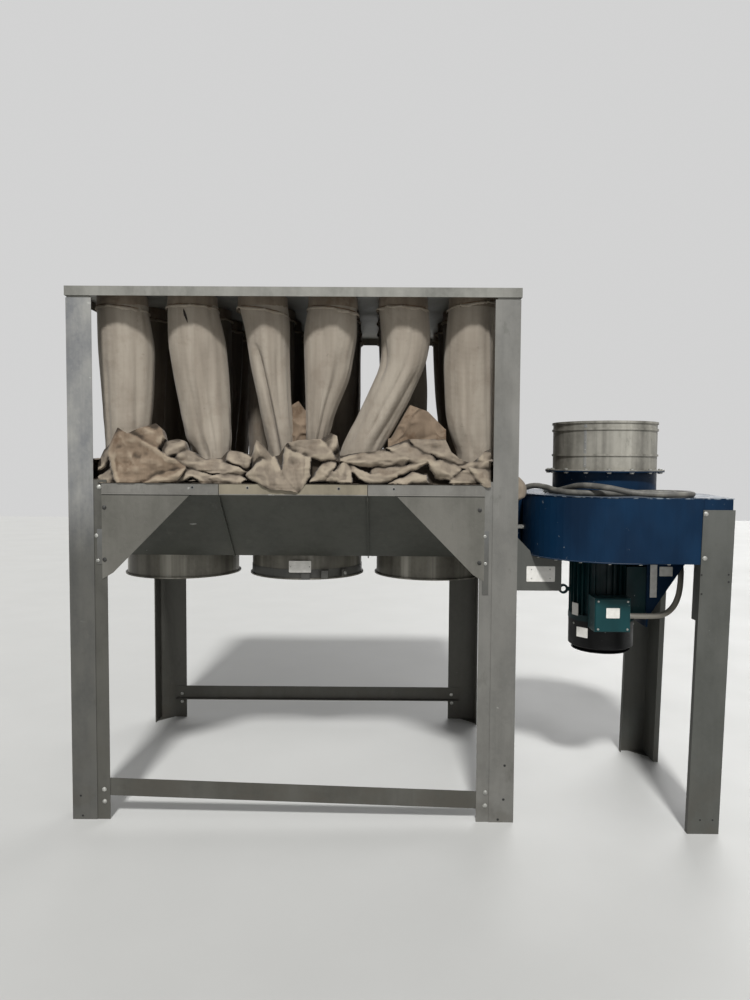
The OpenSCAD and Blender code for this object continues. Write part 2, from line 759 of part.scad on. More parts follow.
module motor_cover() {
    crown = 20;
    color(cover_black) translate([fan_x, fan_y, fan_z - motor_l - cover_l]) {
        translate([0, 0, crown]) cylinder(d = cover_d, h = cover_l - crown);
        cylinder(d1 = cover_d - 3 * crown, d2 = cover_d, h = crown);
    }
}

// The terminal box, hollowed at its back to sit against the round motor
module terminal_box() {
    color(motor_teal) difference() {
        translate([box_x - box_w / 2, fan_y - motor_d / 2 - box_depth + 26, box_z - box_h / 2])
            cube([box_w, box_depth, box_h]);
        translate([fan_x, fan_y, box_z - box_h]) cylinder(d = motor_d + 2 * fit_gap, h = 2 * box_h);
    }
}

// The motor's mounting plate and its two triangular gussets under the housing
module motor_bracket() {
    y0 = fan_y - motor_feet_w / 2 - bracket_t;
    x0 = fan_x + motor_foot;
    color(housing_blue) {
        translate([x0, y0, fan_z - bracket_h]) cube([bracket_t, motor_feet_w + 2 * bracket_t, bracket_h]);
        for (y = [y0 + bracket_t, fan_y + motor_feet_w / 2 + bracket_t])
            translate([x0, y, 0]) rotate([90, 0, 0]) linear_extrude(bracket_t)
                polygon([[0, fan_z - bracket_h], [0, fan_z], [bracket_w, fan_z], [22, fan_z - bracket_h + 62]]);
    }
}

// A fan leg, drawn upright with its outer corner at the origin and its flanges towards -X and +Y
module fan_leg(h) {
    translate([-fan_leg_w, 0, 0]) cube([fan_leg_w, leg_t, h]);
    translate([-leg_t, 0, 0]) cube([leg_t, fan_leg_d, h]);
    translate([-fan_leg_w, 0, 0]) cube([leg_t, fan_leg_lip, h - 30]);
    translate([-leg_t, fan_leg_d - leg_t, 0]) cube([leg_t + outer_lip, leg_t, h]);
}

module leaned_leg(h) {
    drop = h * sin(fan_leg_lean);
    difference() {
        translate([0, 0, h]) rotate([0, fan_leg_lean, 0]) translate([0, 0, -h - 20]) fan_leg(h + 20);
        translate([-2 * fan_leg_w - drop, -fan_leg_d, -100]) cube([4 * fan_leg_w + 2 * drop, 4 * fan_leg_d, 100]);
        translate([-2 * fan_leg_w - drop, -fan_leg_d, h]) cube([4 * fan_leg_w, 4 * fan_leg_d, 100]);
    }
    translate([-drop - leg_t, leg_t, 0]) mirror([1, 0, 0]) foot_triangle(foot_w);
}

module fan_leg_front() {
    color(galvanised) translate([leg_corner_x, leg_face_y, 0]) leaned_leg(fan_leg_h);
}

module fan_leg_rear() {
    color(galvanised) translate([leg_corner_x, rear_face_y, 0]) mirror([0, 1, 0]) leaned_leg(fan_z);
}

// The flat plate under the housing, bolted inside the front leg's side flange
module fan_side_plate() {
    color(galvanised) translate([leg_corner_x, leg_face_y, fan_leg_h]) rotate([0, fan_leg_lean, 0])
        translate([-2 * leg_t, leg_t, fan_z - side_plate_h - fan_leg_h])
            cube([leg_t, side_plate_d, side_plate_h - 1]);
}

// The conduit's route: out of the terminal box, up behind the bracket, round behind the motor,
// up beside the scroll, over onto the top plate and once round there in a long loose loop
route = [
[1445, -455, 837], [1570, -457, 840], [1626, -455, 868], [1658, -448, 926],
    [1680, -415, 1000], [1704, -345, 1050], [1714, -260, 1072], [1700, -165, 1080], [1645, -76, 1082],
    [1560, -20, 1082], [1455, 2, 1082], [1245, -32, 1079], [1150, -85, 1070],
    [1070, -155, 1057], [1004, -222, 1074], [972, -262, 1134], [968, -280, 1210], [969, -288, 1290],
    [979, -300, 1348], [1004, -325, 1385], [1040, -361, 1399], [1078, -410, 1395], [1108, -466, 1384],
    [1152, -520, 1377], [1220, -560, 1376], [1304, -572, 1376], [1386, -556, 1376], [1462, -516, 1376],
    [1540, -490, 1376], [1611, -518, 1376], [1640, -590, 1376], [1611, -660, 1376], [1540, -687, 1376],
    [1455, -681, 1377], [1370, -666, 1383], [1298, -634, 1398], [1238, -580, 1406], [1194, -512, 1404],
    [1164, -436, 1390], [1142, -362, 1377], [1130, -290, 1376]
];
route_top = len(route) - 1;

// A point on the smooth curve through the route's points, at t from 0 to 1 after point k
function route_at(k, t) = let (
    a = route[max(k - 1, 0)], b = route[k], c = route[min(k + 1, route_top)], d = route[min(k + 2, route_top)]
) (2 * b + (c - a) * t + (2 * a - 5 * b + 4 * c - d) * t * t + (3 * b - a - 3 * c + d) * t * t * t) / 2;
rings = [for (s = [0:2 * route_top]) route_at(min(floor(s / 2), route_top), s % 2 / 2)];
function dir_at(k) = let (a = rings[max(k - 1, 0)], b = rings[min(k + 1, len(rings) - 1)]) (b - a) / norm(b - a);
function side_of(d) = let (s = cross(d, abs(d[2]) > 0.8 ? [0, 1, 0] : [0, 0, 1])) s / norm(s);

module conduit() {
    sides = 8;
    n = len(rings);
    points = [for (k = [0:n - 1]) let (d = dir_at(k), s = side_of(d), u = cross(s, d))
        for (i = [0:sides - 1]) rings[k] + (s * cos(i * 45) + u * sin(i * 45)) * cord_d / 2];
    walls = [for (k = [0:n - 2], i = [0:sides - 1])
        [k * sides + i, k * sides + (i + 1) % sides, (k + 1) * sides + (i + 1) % sides, (k + 1) * sides + i]];
    color(conduit_grey) polyhedron(points, concat(
        walls, [[for (i = [sides - 1:-1:0]) i]], [[for (i = [0:sides - 1]) (n - 1) * sides + i]]
    ));
}

// The fitting on the conduit's free end, ready for its next box
module conduit_fitting() {
    end = route[route_top];
    way = dir_at(len(rings) - 1);
    color(galvanised) translate(end) rotate([0, 0, atan2(way[1], way[0])]) rotate([0, 90, 0]) {
        cylinder(d = cord_d, h = 48);
        translate([0, 0, 8]) cylinder(d = cord_d + 1, h = 14);
    }
}

module conduit_gland() {
    color(galvanised) translate([box_x + box_w / 2, route[0][1], route[0][2]]) rotate([0, 90, 0])
        cylinder(d = 36, h = route[0][0] - box_x - box_w / 2);
}

translate([-mid_x, -mid_y, 0]) {
    top_panel();
    top_rim();
    top_cleats();
    bag_cups();
    outer_post(-1, -1);  // post_front_left
    outer_post(1, -1);  // post_front_right
    outer_post(-1, 1);  // post_rear_left
    outer_post(1, 1);  // post_rear_right
    inner_leg(-1, -1);  // leg_front_left
    inner_leg(1, -1);  // leg_front_right
    inner_leg(-1, 1);  // leg_rear_left
    inner_leg(1, 1);  // leg_rear_right
    brace(-1, brace_front_z, brace_tilt);  // brace_front
    brace(1, brace_rear_z, 0);  // brace_rear
    deck_panel(-fx, -outlet_pitch / 2, 0);  // deck_left
    deck_panel(-outlet_pitch / 2, outlet_pitch / 2, 2);  // deck_middle
    deck_panel(outlet_pitch / 2, fx, 4);  // deck_right
    hopper(-clear_x, -outlet_pitch / 2, -outlet_pitch);  // hopper_left
    hopper_middle();
    hopper(outlet_pitch / 2, clear_x, outlet_pitch);  // hopper_right
    outlet(-outlet_pitch);  // outlet_left
    outlet(0);  // outlet_middle
    outlet(outlet_pitch);  // outlet_right
    outlet_strap();
    gussets(-1);  // gussets_front
    gussets(1);  // gussets_rear
    bags_row(0, front_forms);  // bags_front
    bags_behind(1);  // bags_second
    bags_behind(2);  // bags_third
    bags_behind(3);  // bags_rear
    bag_slack();
    bag_lump();
    bag_over_edge();
    bag_beside();
    fan_scroll();
    fan_top_plate();
    fan_bottom_plate();
    fan_corner();
    fan_neck();
    inlet_collar();
    fan_wheel();
    wheel_blades();
    wheel_ring();
    fan_side_panel();
    fan_bracket();
    motor_frame();
    motor_feet();
    motor_eye();
    motor_cover();
    terminal_box();
    motor_bracket();
    fan_leg_front();
    fan_leg_rear();
    fan_side_plate();
    conduit_gland();
    conduit();
    conduit_fitting();
}
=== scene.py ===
"""Looks of the open-bag dust collector, in metres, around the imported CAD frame.

Places are given from the middle of the bag frame on the floor: x towards the fan, y to the rear, z up.
"""

import math

import bmesh
import bpy
from mathutils import Matrix, Vector, noise
from mathutils.bvhtree import BVHTree


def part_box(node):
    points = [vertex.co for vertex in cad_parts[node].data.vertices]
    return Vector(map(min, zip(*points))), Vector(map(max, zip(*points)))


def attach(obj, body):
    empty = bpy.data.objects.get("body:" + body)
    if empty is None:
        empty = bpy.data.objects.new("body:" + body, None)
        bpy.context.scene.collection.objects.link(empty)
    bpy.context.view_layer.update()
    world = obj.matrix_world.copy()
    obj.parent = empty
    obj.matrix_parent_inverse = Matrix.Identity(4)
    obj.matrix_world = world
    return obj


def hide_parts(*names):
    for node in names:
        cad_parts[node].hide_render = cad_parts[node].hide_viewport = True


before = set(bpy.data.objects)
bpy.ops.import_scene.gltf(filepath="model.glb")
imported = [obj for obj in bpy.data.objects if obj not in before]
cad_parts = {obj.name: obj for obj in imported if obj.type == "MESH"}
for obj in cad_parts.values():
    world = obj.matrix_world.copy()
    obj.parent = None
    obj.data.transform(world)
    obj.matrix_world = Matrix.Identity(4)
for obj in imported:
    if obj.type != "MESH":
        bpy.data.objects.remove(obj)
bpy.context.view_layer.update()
# Vector noise takes its offsets from a seed, which would be the clock's otherwise
noise.seed_set(7)
bpy.context.scene.view_settings.view_transform = "Standard"

# Places that the CAD nodes give
MIDDLE = (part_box("post_front_left")[0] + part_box("post_rear_right")[1]) / 2
FRAME_HALF_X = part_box("post_rear_right")[1].x - MIDDLE.x
FRAME_HALF_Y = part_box("post_rear_right")[1].y - MIDDLE.y
DECK_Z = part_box("deck_middle")[1].z
SLACK_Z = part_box("bags_front")[0].z
CUP_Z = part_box("bag_cups")[0].z
TRAY_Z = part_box("bag_cups")[1].z
HOUSING_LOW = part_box("fan_bottom_plate")[0].z
HOUSING_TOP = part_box("fan_top_plate")[1].z
FAN = (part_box("inlet_collar")[0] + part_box("inlet_collar")[1]) / 2 - MIDDLE
BAG_PITCH = 0.300
BAG_COLS = 6
BAG_ROWS = 4

FRONT = Vector((0, -1, 0))
REAR = Vector((0, 1, 0))
LEFT = Vector((-1, 0, 0))
RIGHT = Vector((1, 0, 0))
UP = Vector((0, 0, 1))
DOWN = Vector((0, 0, -1))


def at(x, y, z):
    """A point given from the middle of the bag frame, in the row frame."""
    return Vector((MIDDLE.x + x, MIDDLE.y + y, z))


# Camera, fitted to the posts, the tray and the outlets in the photograph
PHOTO_W, PHOTO_H = 750, 1000
FOCAL_PX = 751
EYE = at(0.347, -3.699, 1.503)
PITCH, YAW, ROLL = math.radians(2.96), math.radians(0.22), math.radians(0.35)

view_ahead = Vector((-math.sin(YAW) * math.cos(PITCH), math.cos(YAW) * math.cos(PITCH), -math.sin(PITCH)))
level_right = Vector((math.cos(YAW), math.sin(YAW), 0))
level_up = level_right.cross(view_ahead)
view_right = level_right * math.cos(ROLL) + level_up * math.sin(ROLL)
view_up = level_up * math.cos(ROLL) - level_right * math.sin(ROLL)

lens = bpy.data.cameras.new("photo_camera")
lens.sensor_fit = "HORIZONTAL"
lens.sensor_width = 36
lens.lens = FOCAL_PX / PHOTO_W * lens.sensor_width
camera = bpy.data.objects.new("photo_camera", lens)
bpy.context.scene.collection.objects.link(camera)
turn = Matrix((view_right, view_up, -view_ahead)).transposed()
camera.matrix_world = Matrix.Translation(EYE) @ turn.to_4x4()
bpy.context.scene.camera = camera


def seen(px, py, y, tilt=0.0, z=DECK_Z):
    """Where a pixel of the photograph lies on the plane that stands at y at the height z, tilted back."""
    across, upward = (px - PHOTO_W / 2) / FOCAL_PX, (PHOTO_H / 2 - py) / FOCAL_PX
    ray = view_ahead + view_right * across + view_up * upward
    reach = (MIDDLE.y + y - EYE.y + tilt * (EYE.z - z)) / (ray.y - tilt * ray.z)
    return EYE + ray * reach


# Mesh helpers
class Shape:
    """Points and faces that are gathered into one piece."""

    def __init__(self):
        self.points = []
        self.faces = []

    def loft(self, rings, capped=False):
        """Skins closed loops of cloth, all of equal length, one after the other."""
        start = len(self.points)
        count = len(rings[0])
        for ring in rings:
            self.points.extend(ring)
        for i in range(len(rings) - 1):
            for j in range(count):
                a = start + i * count + j
                b = start + i * count + (j + 1) % count
                self.faces.append((a, b, b + count, a + count))
        if capped:
            last = start + (len(rings) - 1) * count
            self.faces.append(tuple(range(start + count - 1, start - 1, -1)))
            self.faces.append(tuple(range(last, last + count)))

    def grid(self, columns, rows, start=0):
        """Joins points that stand in columns of rows, from the point number start on."""
        for i in range(columns - 1):
            for j in range(rows - 1):
                a = start + i * rows + j
                self.faces.append((a, a + rows, a + rows + 1, a + 1))

    def take(self, part):
        """Gathers a finished bmesh with its faces turned outwards, in the same order each run, and frees it."""
        bmesh.ops.recalc_face_normals(part, faces=part.faces[:])
        for k, corner in enumerate(sorted(part.verts, key=lambda corner: tuple(corner.co)), len(self.points)):
            corner.index = k
            self.points.append(corner.co.copy())
        faces = []
        for face in part.faces:
            numbers = [corner.index for corner in face.verts]
            first = numbers.index(min(numbers))
            faces.append(tuple(numbers[first:] + numbers[:first]))
        self.faces.extend(sorted(faces))
        part.free()


def piece(name, shape, material, crease=35):
    """Makes a smooth-shaded piece of the gathered points, which keeps the edges sharper than crease."""
    mesh = bpy.data.meshes.new(name)
    mesh.from_pydata([tuple(p) for p in shape.points], [], shape.faces)
    mesh.update()
    mesh.shade_smooth()
    mesh.set_sharp_from_angle(angle=math.radians(crease))
    mesh.materials.append(material)
    made = bpy.data.objects.new(name, mesh)
    bpy.context.scene.collection.objects.link(made)
    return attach(made, "root")


def sides_of(normal):
    """Two directions square to a normal and to each other, the second one as upright as it can be."""
    normal = normal.normalized()
    across = UP.cross(normal) if abs(normal.z) < 0.9 else RIGHT.copy()
    across = (across - normal * across.dot(normal)).normalized()
    return across, normal.cross(across)


def facing(centre, normal, turn=0.0):
    """The matrix that stands a part's z along the normal at the centre, turned about it."""
    across, upright = sides_of(normal)
    stand = Matrix((across, upright, normal.normalized())).transposed().to_4x4()
    return Matrix.Translation(centre) @ stand @ Matrix.Rotation(turn, 4, "Z")


def turned(shape, centre, normal, profile, count=32, turn=0.0):
    """A round part, spun from its profile of (radius, distance along the normal)."""
    part = bmesh.new()
    line = [part.verts.new((r, 0, d)) for r, d in profile]
    for pair in zip(line, line[1:]):
        part.edges.new(pair)
    bmesh.ops.spin(part, geom=part.verts[:] + part.edges[:], cent=(0, 0, 0), axis=(0, 0, 1),
        angle=2 * math.pi, steps=count, use_merge=True)
    bmesh.ops.holes_fill(part, edges=part.edges[:])
    bmesh.ops.transform(part, matrix=facing(centre, normal, turn), verts=part.verts[:])
    shape.take(part)


def thickened(part, way):
    """Draws a bmesh's one face out along a way, and returns the new end face."""
    grown = bmesh.ops.extrude_face_region(part, geom=part.faces[:])["geom"]
    end = next(item for item in grown if isinstance(item, bmesh.types.BMFace))
    bmesh.ops.translate(part, vec=way, verts=end.verts[:])
    return end


def bolt(shape, place, normal, across=0.015):
    """A hexagon head on a washer."""
    high = across * 0.42
    turned(shape, place, normal, [(across * 0.72, 0), (across * 0.72, 0.0016), (across * 0.66, 0.002)], 16)
    hexagon = [(across * 0.577, 0.002), (across * 0.577, high * 0.86), (across * 0.48, high)]
    turned(shape, place, normal, hexagon, 6, noise.noise(place * 31) * 2)


def screw(shape, place, normal, radius=0.004):
    """A low round head."""
    turned(shape, place, normal, [(radius, 0), (radius, radius * 0.3), (radius * 0.75, radius * 0.62),
        (radius * 0.3, radius * 0.75)], 12)


def plate(shape, centre, normal, width, height, thick, corner=0.003, rim=0.0006):
    """A thin plate with round corners and a small bevel, whose back lies at the centre."""
    part = bmesh.new()
    bmesh.ops.create_grid(part, x_segments=1, y_segments=1, size=0.5)
    bmesh.ops.scale(part, vec=(width, height, 1), verts=part.verts[:])
    bmesh.ops.bevel(part, geom=part.verts[:], offset=corner, offset_type="OFFSET", affect="VERTICES",
        segments=4, profile=0.5, material=-1)
    top = thickened(part, (0, 0, thick - rim))
    bmesh.ops.inset_region(part, faces=[top], thickness=rim, depth=rim)
    bmesh.ops.transform(part, matrix=facing(centre, normal), verts=part.verts[:])
    shape.take(part)


def smooth_path(points, steps):
    """A Catmull-Rom line through the points, the one that the CAD cord follows."""
    line = []
    for k in range(len(points) - 1):
        a = points[max(k - 1, 0)]
        b, c = points[k], points[k + 1]
        d = points[min(k + 2, len(points) - 1)]
        for step in range(steps):
            t = step / steps
            line.append((2 * b + (c - a) * t + (2 * a - 5 * b + 4 * c - d) * t ** 2
                + (3 * b - a - 3 * c + d) * t ** 3) / 2)
    return line + [points[-1]]


def sweep(shape, line, radius, count=12):
    """A tube along a line, without twist."""
    part = bmesh.new()
    bmesh.ops.create_circle(part, cap_ends=True, segments=count, radius=radius)
    end = part.faces[:][0]
    stand_was = Matrix.Rotation(math.radians(90), 4, "Z")
    ahead = (line[1] - line[0]).normalized()
    across = sides_of(ahead)[0]
    for k, place in enumerate(line):
        new = (line[min(k + 1, len(line) - 1)] - line[max(k - 1, 0)]).normalized()
        across = ahead.rotation_difference(new) @ across
        across = (across - new * across.dot(new)).normalized()
        ahead = new
        stand = Matrix((across, ahead.cross(across), ahead)).transposed().to_4x4()
        stand = Matrix.Translation(place) @ stand
        if k > 0:
            grown = bmesh.ops.extrude_face_region(part, geom=[end])["geom"]
            if k > 1:
                bmesh.ops.delete(part, geom=[end], context="FACES_ONLY")
            end = next(item for item in grown if isinstance(item, bmesh.types.BMFace))
        bmesh.ops.transform(part, matrix=stand @ stand_was.inverted(), verts=end.verts[:])
        stand_was = stand
    shape.take(part)


# Material helpers; the zinc's crystals and the cloth's ribs are this far apart
SPANGLE_MM, WEFT_MM = 13.3, 5.07


def colour(code):
    """An sRGB hex colour as linear light, with an alpha of 1."""
    parts = [int(code[k:k + 2], 16) / 255 for k in (0, 2, 4)]
    return tuple(v / 12.92 if v <= 0.04045 else ((v + 0.055) / 1.055) ** 2.4 for v in parts) + (1.0,)


def add(tree, kind, inputs=None, **settings):
    """Adds a node; inputs maps a socket's name or number to a value or to another node's output."""
    made = tree.nodes.new(kind)
    for name, value in settings.items():
        setattr(made, name, value)
    for key, value in (inputs or {}).items():
        if isinstance(value, bpy.types.NodeSocket):
            tree.links.new(value, made.inputs[key])
        else:
            made.inputs[key].default_value = value
    return made


def speckle(tree, size, detail=4.0, stretch=(1, 1, 1), rough=0.55):
    """Noise over the object's own coordinates, of a size in millimetres, with a stretch on each axis."""
    place = add(tree, "ShaderNodeTexCoord").outputs["Object"]
    moved = add(tree, "ShaderNodeMapping", {"Vector": place, "Scale": stretch}).outputs[0]
    inputs = {"Vector": moved, "Scale": 1000 / size, "Detail": detail, "Roughness": rough}
    return add(tree, "ShaderNodeTexNoise", inputs).outputs[0]


def ramp(tree, value, low, high, out_low=0.0, out_high=1.0):
    """Maps a value smoothly from low and high to two other values."""
    inputs = {"Value": value, "From Min": low, "From Max": high, "To Min": out_low, "To Max": out_high}
    return add(tree, "ShaderNodeMapRange", inputs, interpolation_type="SMOOTHSTEP").outputs[0]


def mix(tree, share, first, second):
    """Mixes two colours."""
    return add(tree, "ShaderNodeMix", {0: share, 6: first, 7: second}, data_type="RGBA").outputs[2]


def times(tree, first, second):
    """Multiplies two values."""
    return add(tree, "ShaderNodeMath", {0: first, 1: second}, operation="MULTIPLY").outputs[0]


def axis_of(tree, kind, output, axis):
    """One axis of a coordinate or a normal."""
    source = add(tree, kind).outputs[output]
    return add(tree, "ShaderNodeSeparateXYZ", {0: source}).outputs[axis]


def finish_material(name, build, **sockets):
    """A material: build(tree) gives its colour, roughness and bump height, and sockets are constants."""
    made = bpy.data.materials.new(name)
    made.use_nodes = True
    tree = made.node_tree
    tree.nodes.clear()
    shade, rough, height, depth = build(tree)
    bumped = add(tree, "ShaderNodeBump", {"Height": height, "Strength": 1.0, "Distance": depth}).outputs[0]
    inputs = {"Base Color": shade, "Roughness": rough, "Normal": bumped}
    inputs.update({key.replace("_", " "): value for key, value in sockets.items()})
    shader = add(tree, "ShaderNodeBsdfPrincipled", inputs)
    add(tree, "ShaderNodeOutputMaterial", {"Surface": shader.outputs[0]})
    return made


def galvanised(name, tone, dark, light, grime=0.25, low=0.0, bands=0.0):
    """Hot-dipped sheet: spangle, blotches, streaks and scratches.

    low paints shade over the lower end of a tall piece, and bands paints upright bands of reflection, light and
    dark, on rolled sheet.
    """
    def build(tree):
        place = add(tree, "ShaderNodeTexCoord").outputs["Object"]
        cells = add(tree, "ShaderNodeTexVoronoi", {"Vector": place, "Scale": 1000 / SPANGLE_MM})
        spangle = add(tree, "ShaderNodeSeparateXYZ", {0: cells.outputs["Color"]}).outputs[0]
        cloud = speckle(tree, 167, 7.0, (1, 1, 0.45), 0.62)
        shade = mix(tree, ramp(tree, cloud, 0.34, 0.66), colour(dark), colour(light))
        shade = mix(tree, 0.35, shade, colour(tone))
        shade = mix(tree, ramp(tree, spangle, 0.0, 1.0, 0.0, 0.16), shade, colour(light))
        streak = speckle(tree, 29.4, 3.0, (1, 1, 0.03))
        shade = mix(tree, ramp(tree, streak, 0.5, 0.75, 0.0, 0.25), shade, colour(light))
        shade = mix(tree, ramp(tree, streak, 0.48, 0.25, 0.0, 0.30), shade, colour(dark))
        # Painted reflection: upright light and dark bands, as rolled sheet mirrors the room
        band = speckle(tree, 111, 4.0, (1, 1, 0.02), 0.6)
        shade = mix(tree, ramp(tree, band, 0.50, 0.72, 0.0, bands), shade, colour("d6d2c6"))
        shade = mix(tree, ramp(tree, band, 0.47, 0.30, 0.0, bands), shade, colour("2f2a24"))
        scratch = speckle(tree, 71.4, 3.0, (0.9, 0.9, 2.6), 0.5)
        shade = mix(tree, ramp(tree, scratch, 0.745, 0.765, 0.0, 0.45), shade, colour("b4b4ae"))
        stain = ramp(tree, speckle(tree, 90.9, 8.0, (1, 1, 0.5), 0.7), 0.60, 0.68)
        shade = mix(tree, times(tree, stain, 0.35), shade, colour("55564f"))
        height = axis_of(tree, "ShaderNodeTexCoord", "Object", 2)
        # Painted shade: the lower end goes darker from about 1.45 m down to 1.05 m
        shade = mix(tree, ramp(tree, height, 1.45, 1.05, 0.0, low), shade, colour("3b3a34"))
        smudge = ramp(tree, speckle(tree, 111, 6.0), 0.42, 0.62)
        dirt = times(tree, times(tree, ramp(tree, height, 0.45, 0.0), smudge), grime * 2)
        shade = mix(tree, dirt, shade, colour("4a4740"))
        patch = ramp(tree, speckle(tree, 370, 6.0), 0.55, 0.7)
        shade = mix(tree, times(tree, patch, grime), shade, colour("57554e"))
        rough = ramp(tree, cloud, 0.3, 0.7, 0.46, 0.62)
        return shade, rough, spangle, 0.00012
    return finish_material(name, build, Metallic=0.35)


def enamel(name, tone, light, dust, dust_colour="8b8f90", edge=None, gloss=0.2):
    """Sprayed enamel with streaks, chips, dust on faces that look up and, at a height, an edge line of wear and
    painted highlight.
    """
    def build(tree):
        cloud = speckle(tree, 167, 4.0, (1, 1, 0.35))
        shade = mix(tree, ramp(tree, cloud, 0.35, 0.7), colour(tone), colour(light))
        streak = speckle(tree, 41.7, 3.0, (1, 1, 0.05))
        shade = mix(tree, ramp(tree, streak, 0.55, 0.8, 0.0, 0.35), shade, colour(light))
        chip = ramp(tree, speckle(tree, 14.3, 3.0), 0.72, 0.74, 0.0, 0.45)
        shade = mix(tree, chip, shade, colour("9aa0a2"))
        facing = ramp(tree, axis_of(tree, "ShaderNodeNewGeometry", "Normal", 2), 0.5, 0.95)
        cover = ramp(tree, speckle(tree, 111, 6.0), 0.25, 0.75, dust * 0.5, dust)
        shade = mix(tree, times(tree, facing, cover), shade, colour(dust_colour))
        # A light line just below the edge: wear, with a painted highlight along the edge
        if edge is not None:
            height = axis_of(tree, "ShaderNodeTexCoord", "Object", 2)
            below = ramp(tree, height, edge - 0.006, edge - 0.0015)
            above = ramp(tree, height, edge + 0.003, edge + 0.001)
            side = ramp(tree, axis_of(tree, "ShaderNodeNewGeometry", "Normal", 2), 0.5, 0.2)
            near = times(tree, times(tree, below, above), side)
            wear_and_highlight = ramp(tree, speckle(tree, 25, 3.0), 0.46, 0.62, 0.0, 0.6)
            shade = mix(tree, times(tree, near, wear_and_highlight), shade, colour("a9b3b9"))
        rough = ramp(tree, speckle(tree, 71.4, 4.0), 0.3, 0.7, 0.34, 0.55)
        return shade, rough, speckle(tree, 6.25, 3.0), 0.00015
    return finish_material(name, build, Specular_IOR_Level=gloss)


def canvas(name, tone, light, dark, stain=0.15, ribs=0.0005):
    """Woven filter cloth: ribs, soft upright streaks of painted light and shade along creases, and stains."""
    def build(tree):
        # Painted light and shade of upright creases, as soft streaks
        streak = speckle(tree, 45.5, 4.0, (1, 1, 0.06))
        shade = mix(tree, ramp(tree, streak, 0.3, 0.7), colour(dark), colour(light))
        shade = mix(tree, 0.55, shade, colour(tone))
        cloud = speckle(tree, 222, 6.0)
        shade = mix(tree, ramp(tree, cloud, 0.42, 0.72, 0.0, 0.45), shade, colour(dark))
        blot = ramp(tree, speckle(tree, 76.9, 6.0, rough=0.65), 0.50, 0.66)
        shade = mix(tree, times(tree, blot, stain), shade, colour("5a4736"))
        spot = ramp(tree, speckle(tree, 22.2, 2.0), 0.70, 0.76, 0.0, 0.22)
        shade = mix(tree, spot, shade, colour("54483b"))
        place = add(tree, "ShaderNodeTexCoord").outputs["Object"]
        inputs = {"Vector": place, "Scale": math.pi * 100 / WEFT_MM, "Distortion": 0.6, "Detail": 1.0}
        weft = add(tree, "ShaderNodeTexWave", inputs, wave_type="BANDS", bands_direction="Z").outputs["Fac"]
        # The heap's front carries how deep each place lies: gaps get painted shade and ridges a painted
        # highlight
        crease = add(tree, "ShaderNodeAttribute", attribute_name="crease").outputs["Fac"]
        shade = mix(tree, crease, shade, colour("2b241c"))
        shade = mix(tree, times(tree, crease, -1.0), shade, colour("c8bba4"))
        thread = speckle(tree, 2.38, 2.0)
        shade = mix(tree, ramp(tree, weft, 0.0, 1.0, 0.0, 0.10), shade, colour(dark))
        rough = ramp(tree, thread, 0.3, 0.7, 0.82, 0.95)
        weave = add(tree, "ShaderNodeMath", {0: weft, 1: thread}, operation="ADD").outputs[0]
        return shade, rough, weave, ribs
    return finish_material(name, build, Sheen_Weight=0.12, Specular_IOR_Level=0.25)


def plain_paint(name, tone, light, low_rough, high_rough, size=33.3, depth=0.0001, **sockets):
    """A small part's finish: two tones in clouds of a size in millimetres, and a fine grain."""
    def build(tree):
        shade = mix(tree, ramp(tree, speckle(tree, size, 5.0), 0.35, 0.68), colour(tone), colour(light))
        rough = ramp(tree, speckle(tree, size / 0.7, 4.0), 0.3, 0.7, low_rough, high_rough)
        return shade, rough, speckle(tree, size / 12, 3.0), depth
    return finish_material(name, build, **sockets)


# Hot-dipped galvanised sheet of the posts, with painted shade lower down
GALVANISED = galvanised("galvanised_sheet", "828280", "62656a", "9e9d97", 0.25, 0.78)
TRAY_SHEET = galvanised("tray_sheet", "7b7a74", "65655f", "908f88", 0.2)
# The right front post's duller sheet, with less dirt and only a little painted shade lower down
GALVANISED_RIGHT = galvanised("galvanised_sheet_right", "74746f", "666561", "817f7a", 0.2, 0.18)
# Legs and braces, toned dark as painted shade under the deck, darker still lower down
DARK_SHEET = galvanised("galvanised_sheet_dark", "55544f", "46453f", "66655f", 0.35, 0.45)
# The fan's legs and bracket plates, with some painted shade lower down
LEG_SHEET = galvanised("fan_leg_sheet", "555753", "494b47", "61625e", 0.25, 0.3)
# Deck flanges; the middle one has a yellowed coat
DECK_SHEET = galvanised("deck_sheet", "75736d", "65635e", "82807a", 0.3)
YELLOWED_SHEET = galvanised("deck_sheet_yellowed", "857d6b", "736c5d", "928a77", 0.3)
# The hoppers, toned dark as painted shade under the deck and the bags
HOPPER_SHEET = galvanised("hopper_sheet", "40413b", "35362f", "4d4e47", 0.4)
GUSSET_SHEET = galvanised("gusset_sheet", "63615b", "57564f", "6f6d66", 0.3)
# The bright rolled collar and the darker outlets, both with painted upright bands of reflection; the outlets'
# dark tone is painted shade low under the hoppers
COLLAR_SHEET = galvanised("collar_sheet", "827f76", "605e57", "a6a399", 0.15, bands=0.55)
OUTLET_SHEET = galvanised("outlet_sheet", "66635a", "4f4c43", "7e7b70", 0.3, bands=0.5)
# Navy enamel of the fan housing
NAVY = enamel("housing_enamel", "081f35", "0d2a44", 0.6, "7f8386", edge=HOUSING_TOP, gloss=0.12)
# Teal enamel of the motor
TEAL = enamel("motor_enamel", "04191b", "0a3235", 0.2, "3c4b49")
TERMINAL_TEAL = enamel("terminal_box_enamel", "0d3437", "154346", 0.3, "5d6f6d")
# Black enamel of the motor's fan cover
COVER_BLACK = enamel("cover_enamel", "070708", "121314", 0.15, "3a3b3c")
# Dark primer inside the housing
WHEEL_PAINT = enamel("wheel_primer", "1b1d1f", "2c2e30", 0.6, "6b675f")
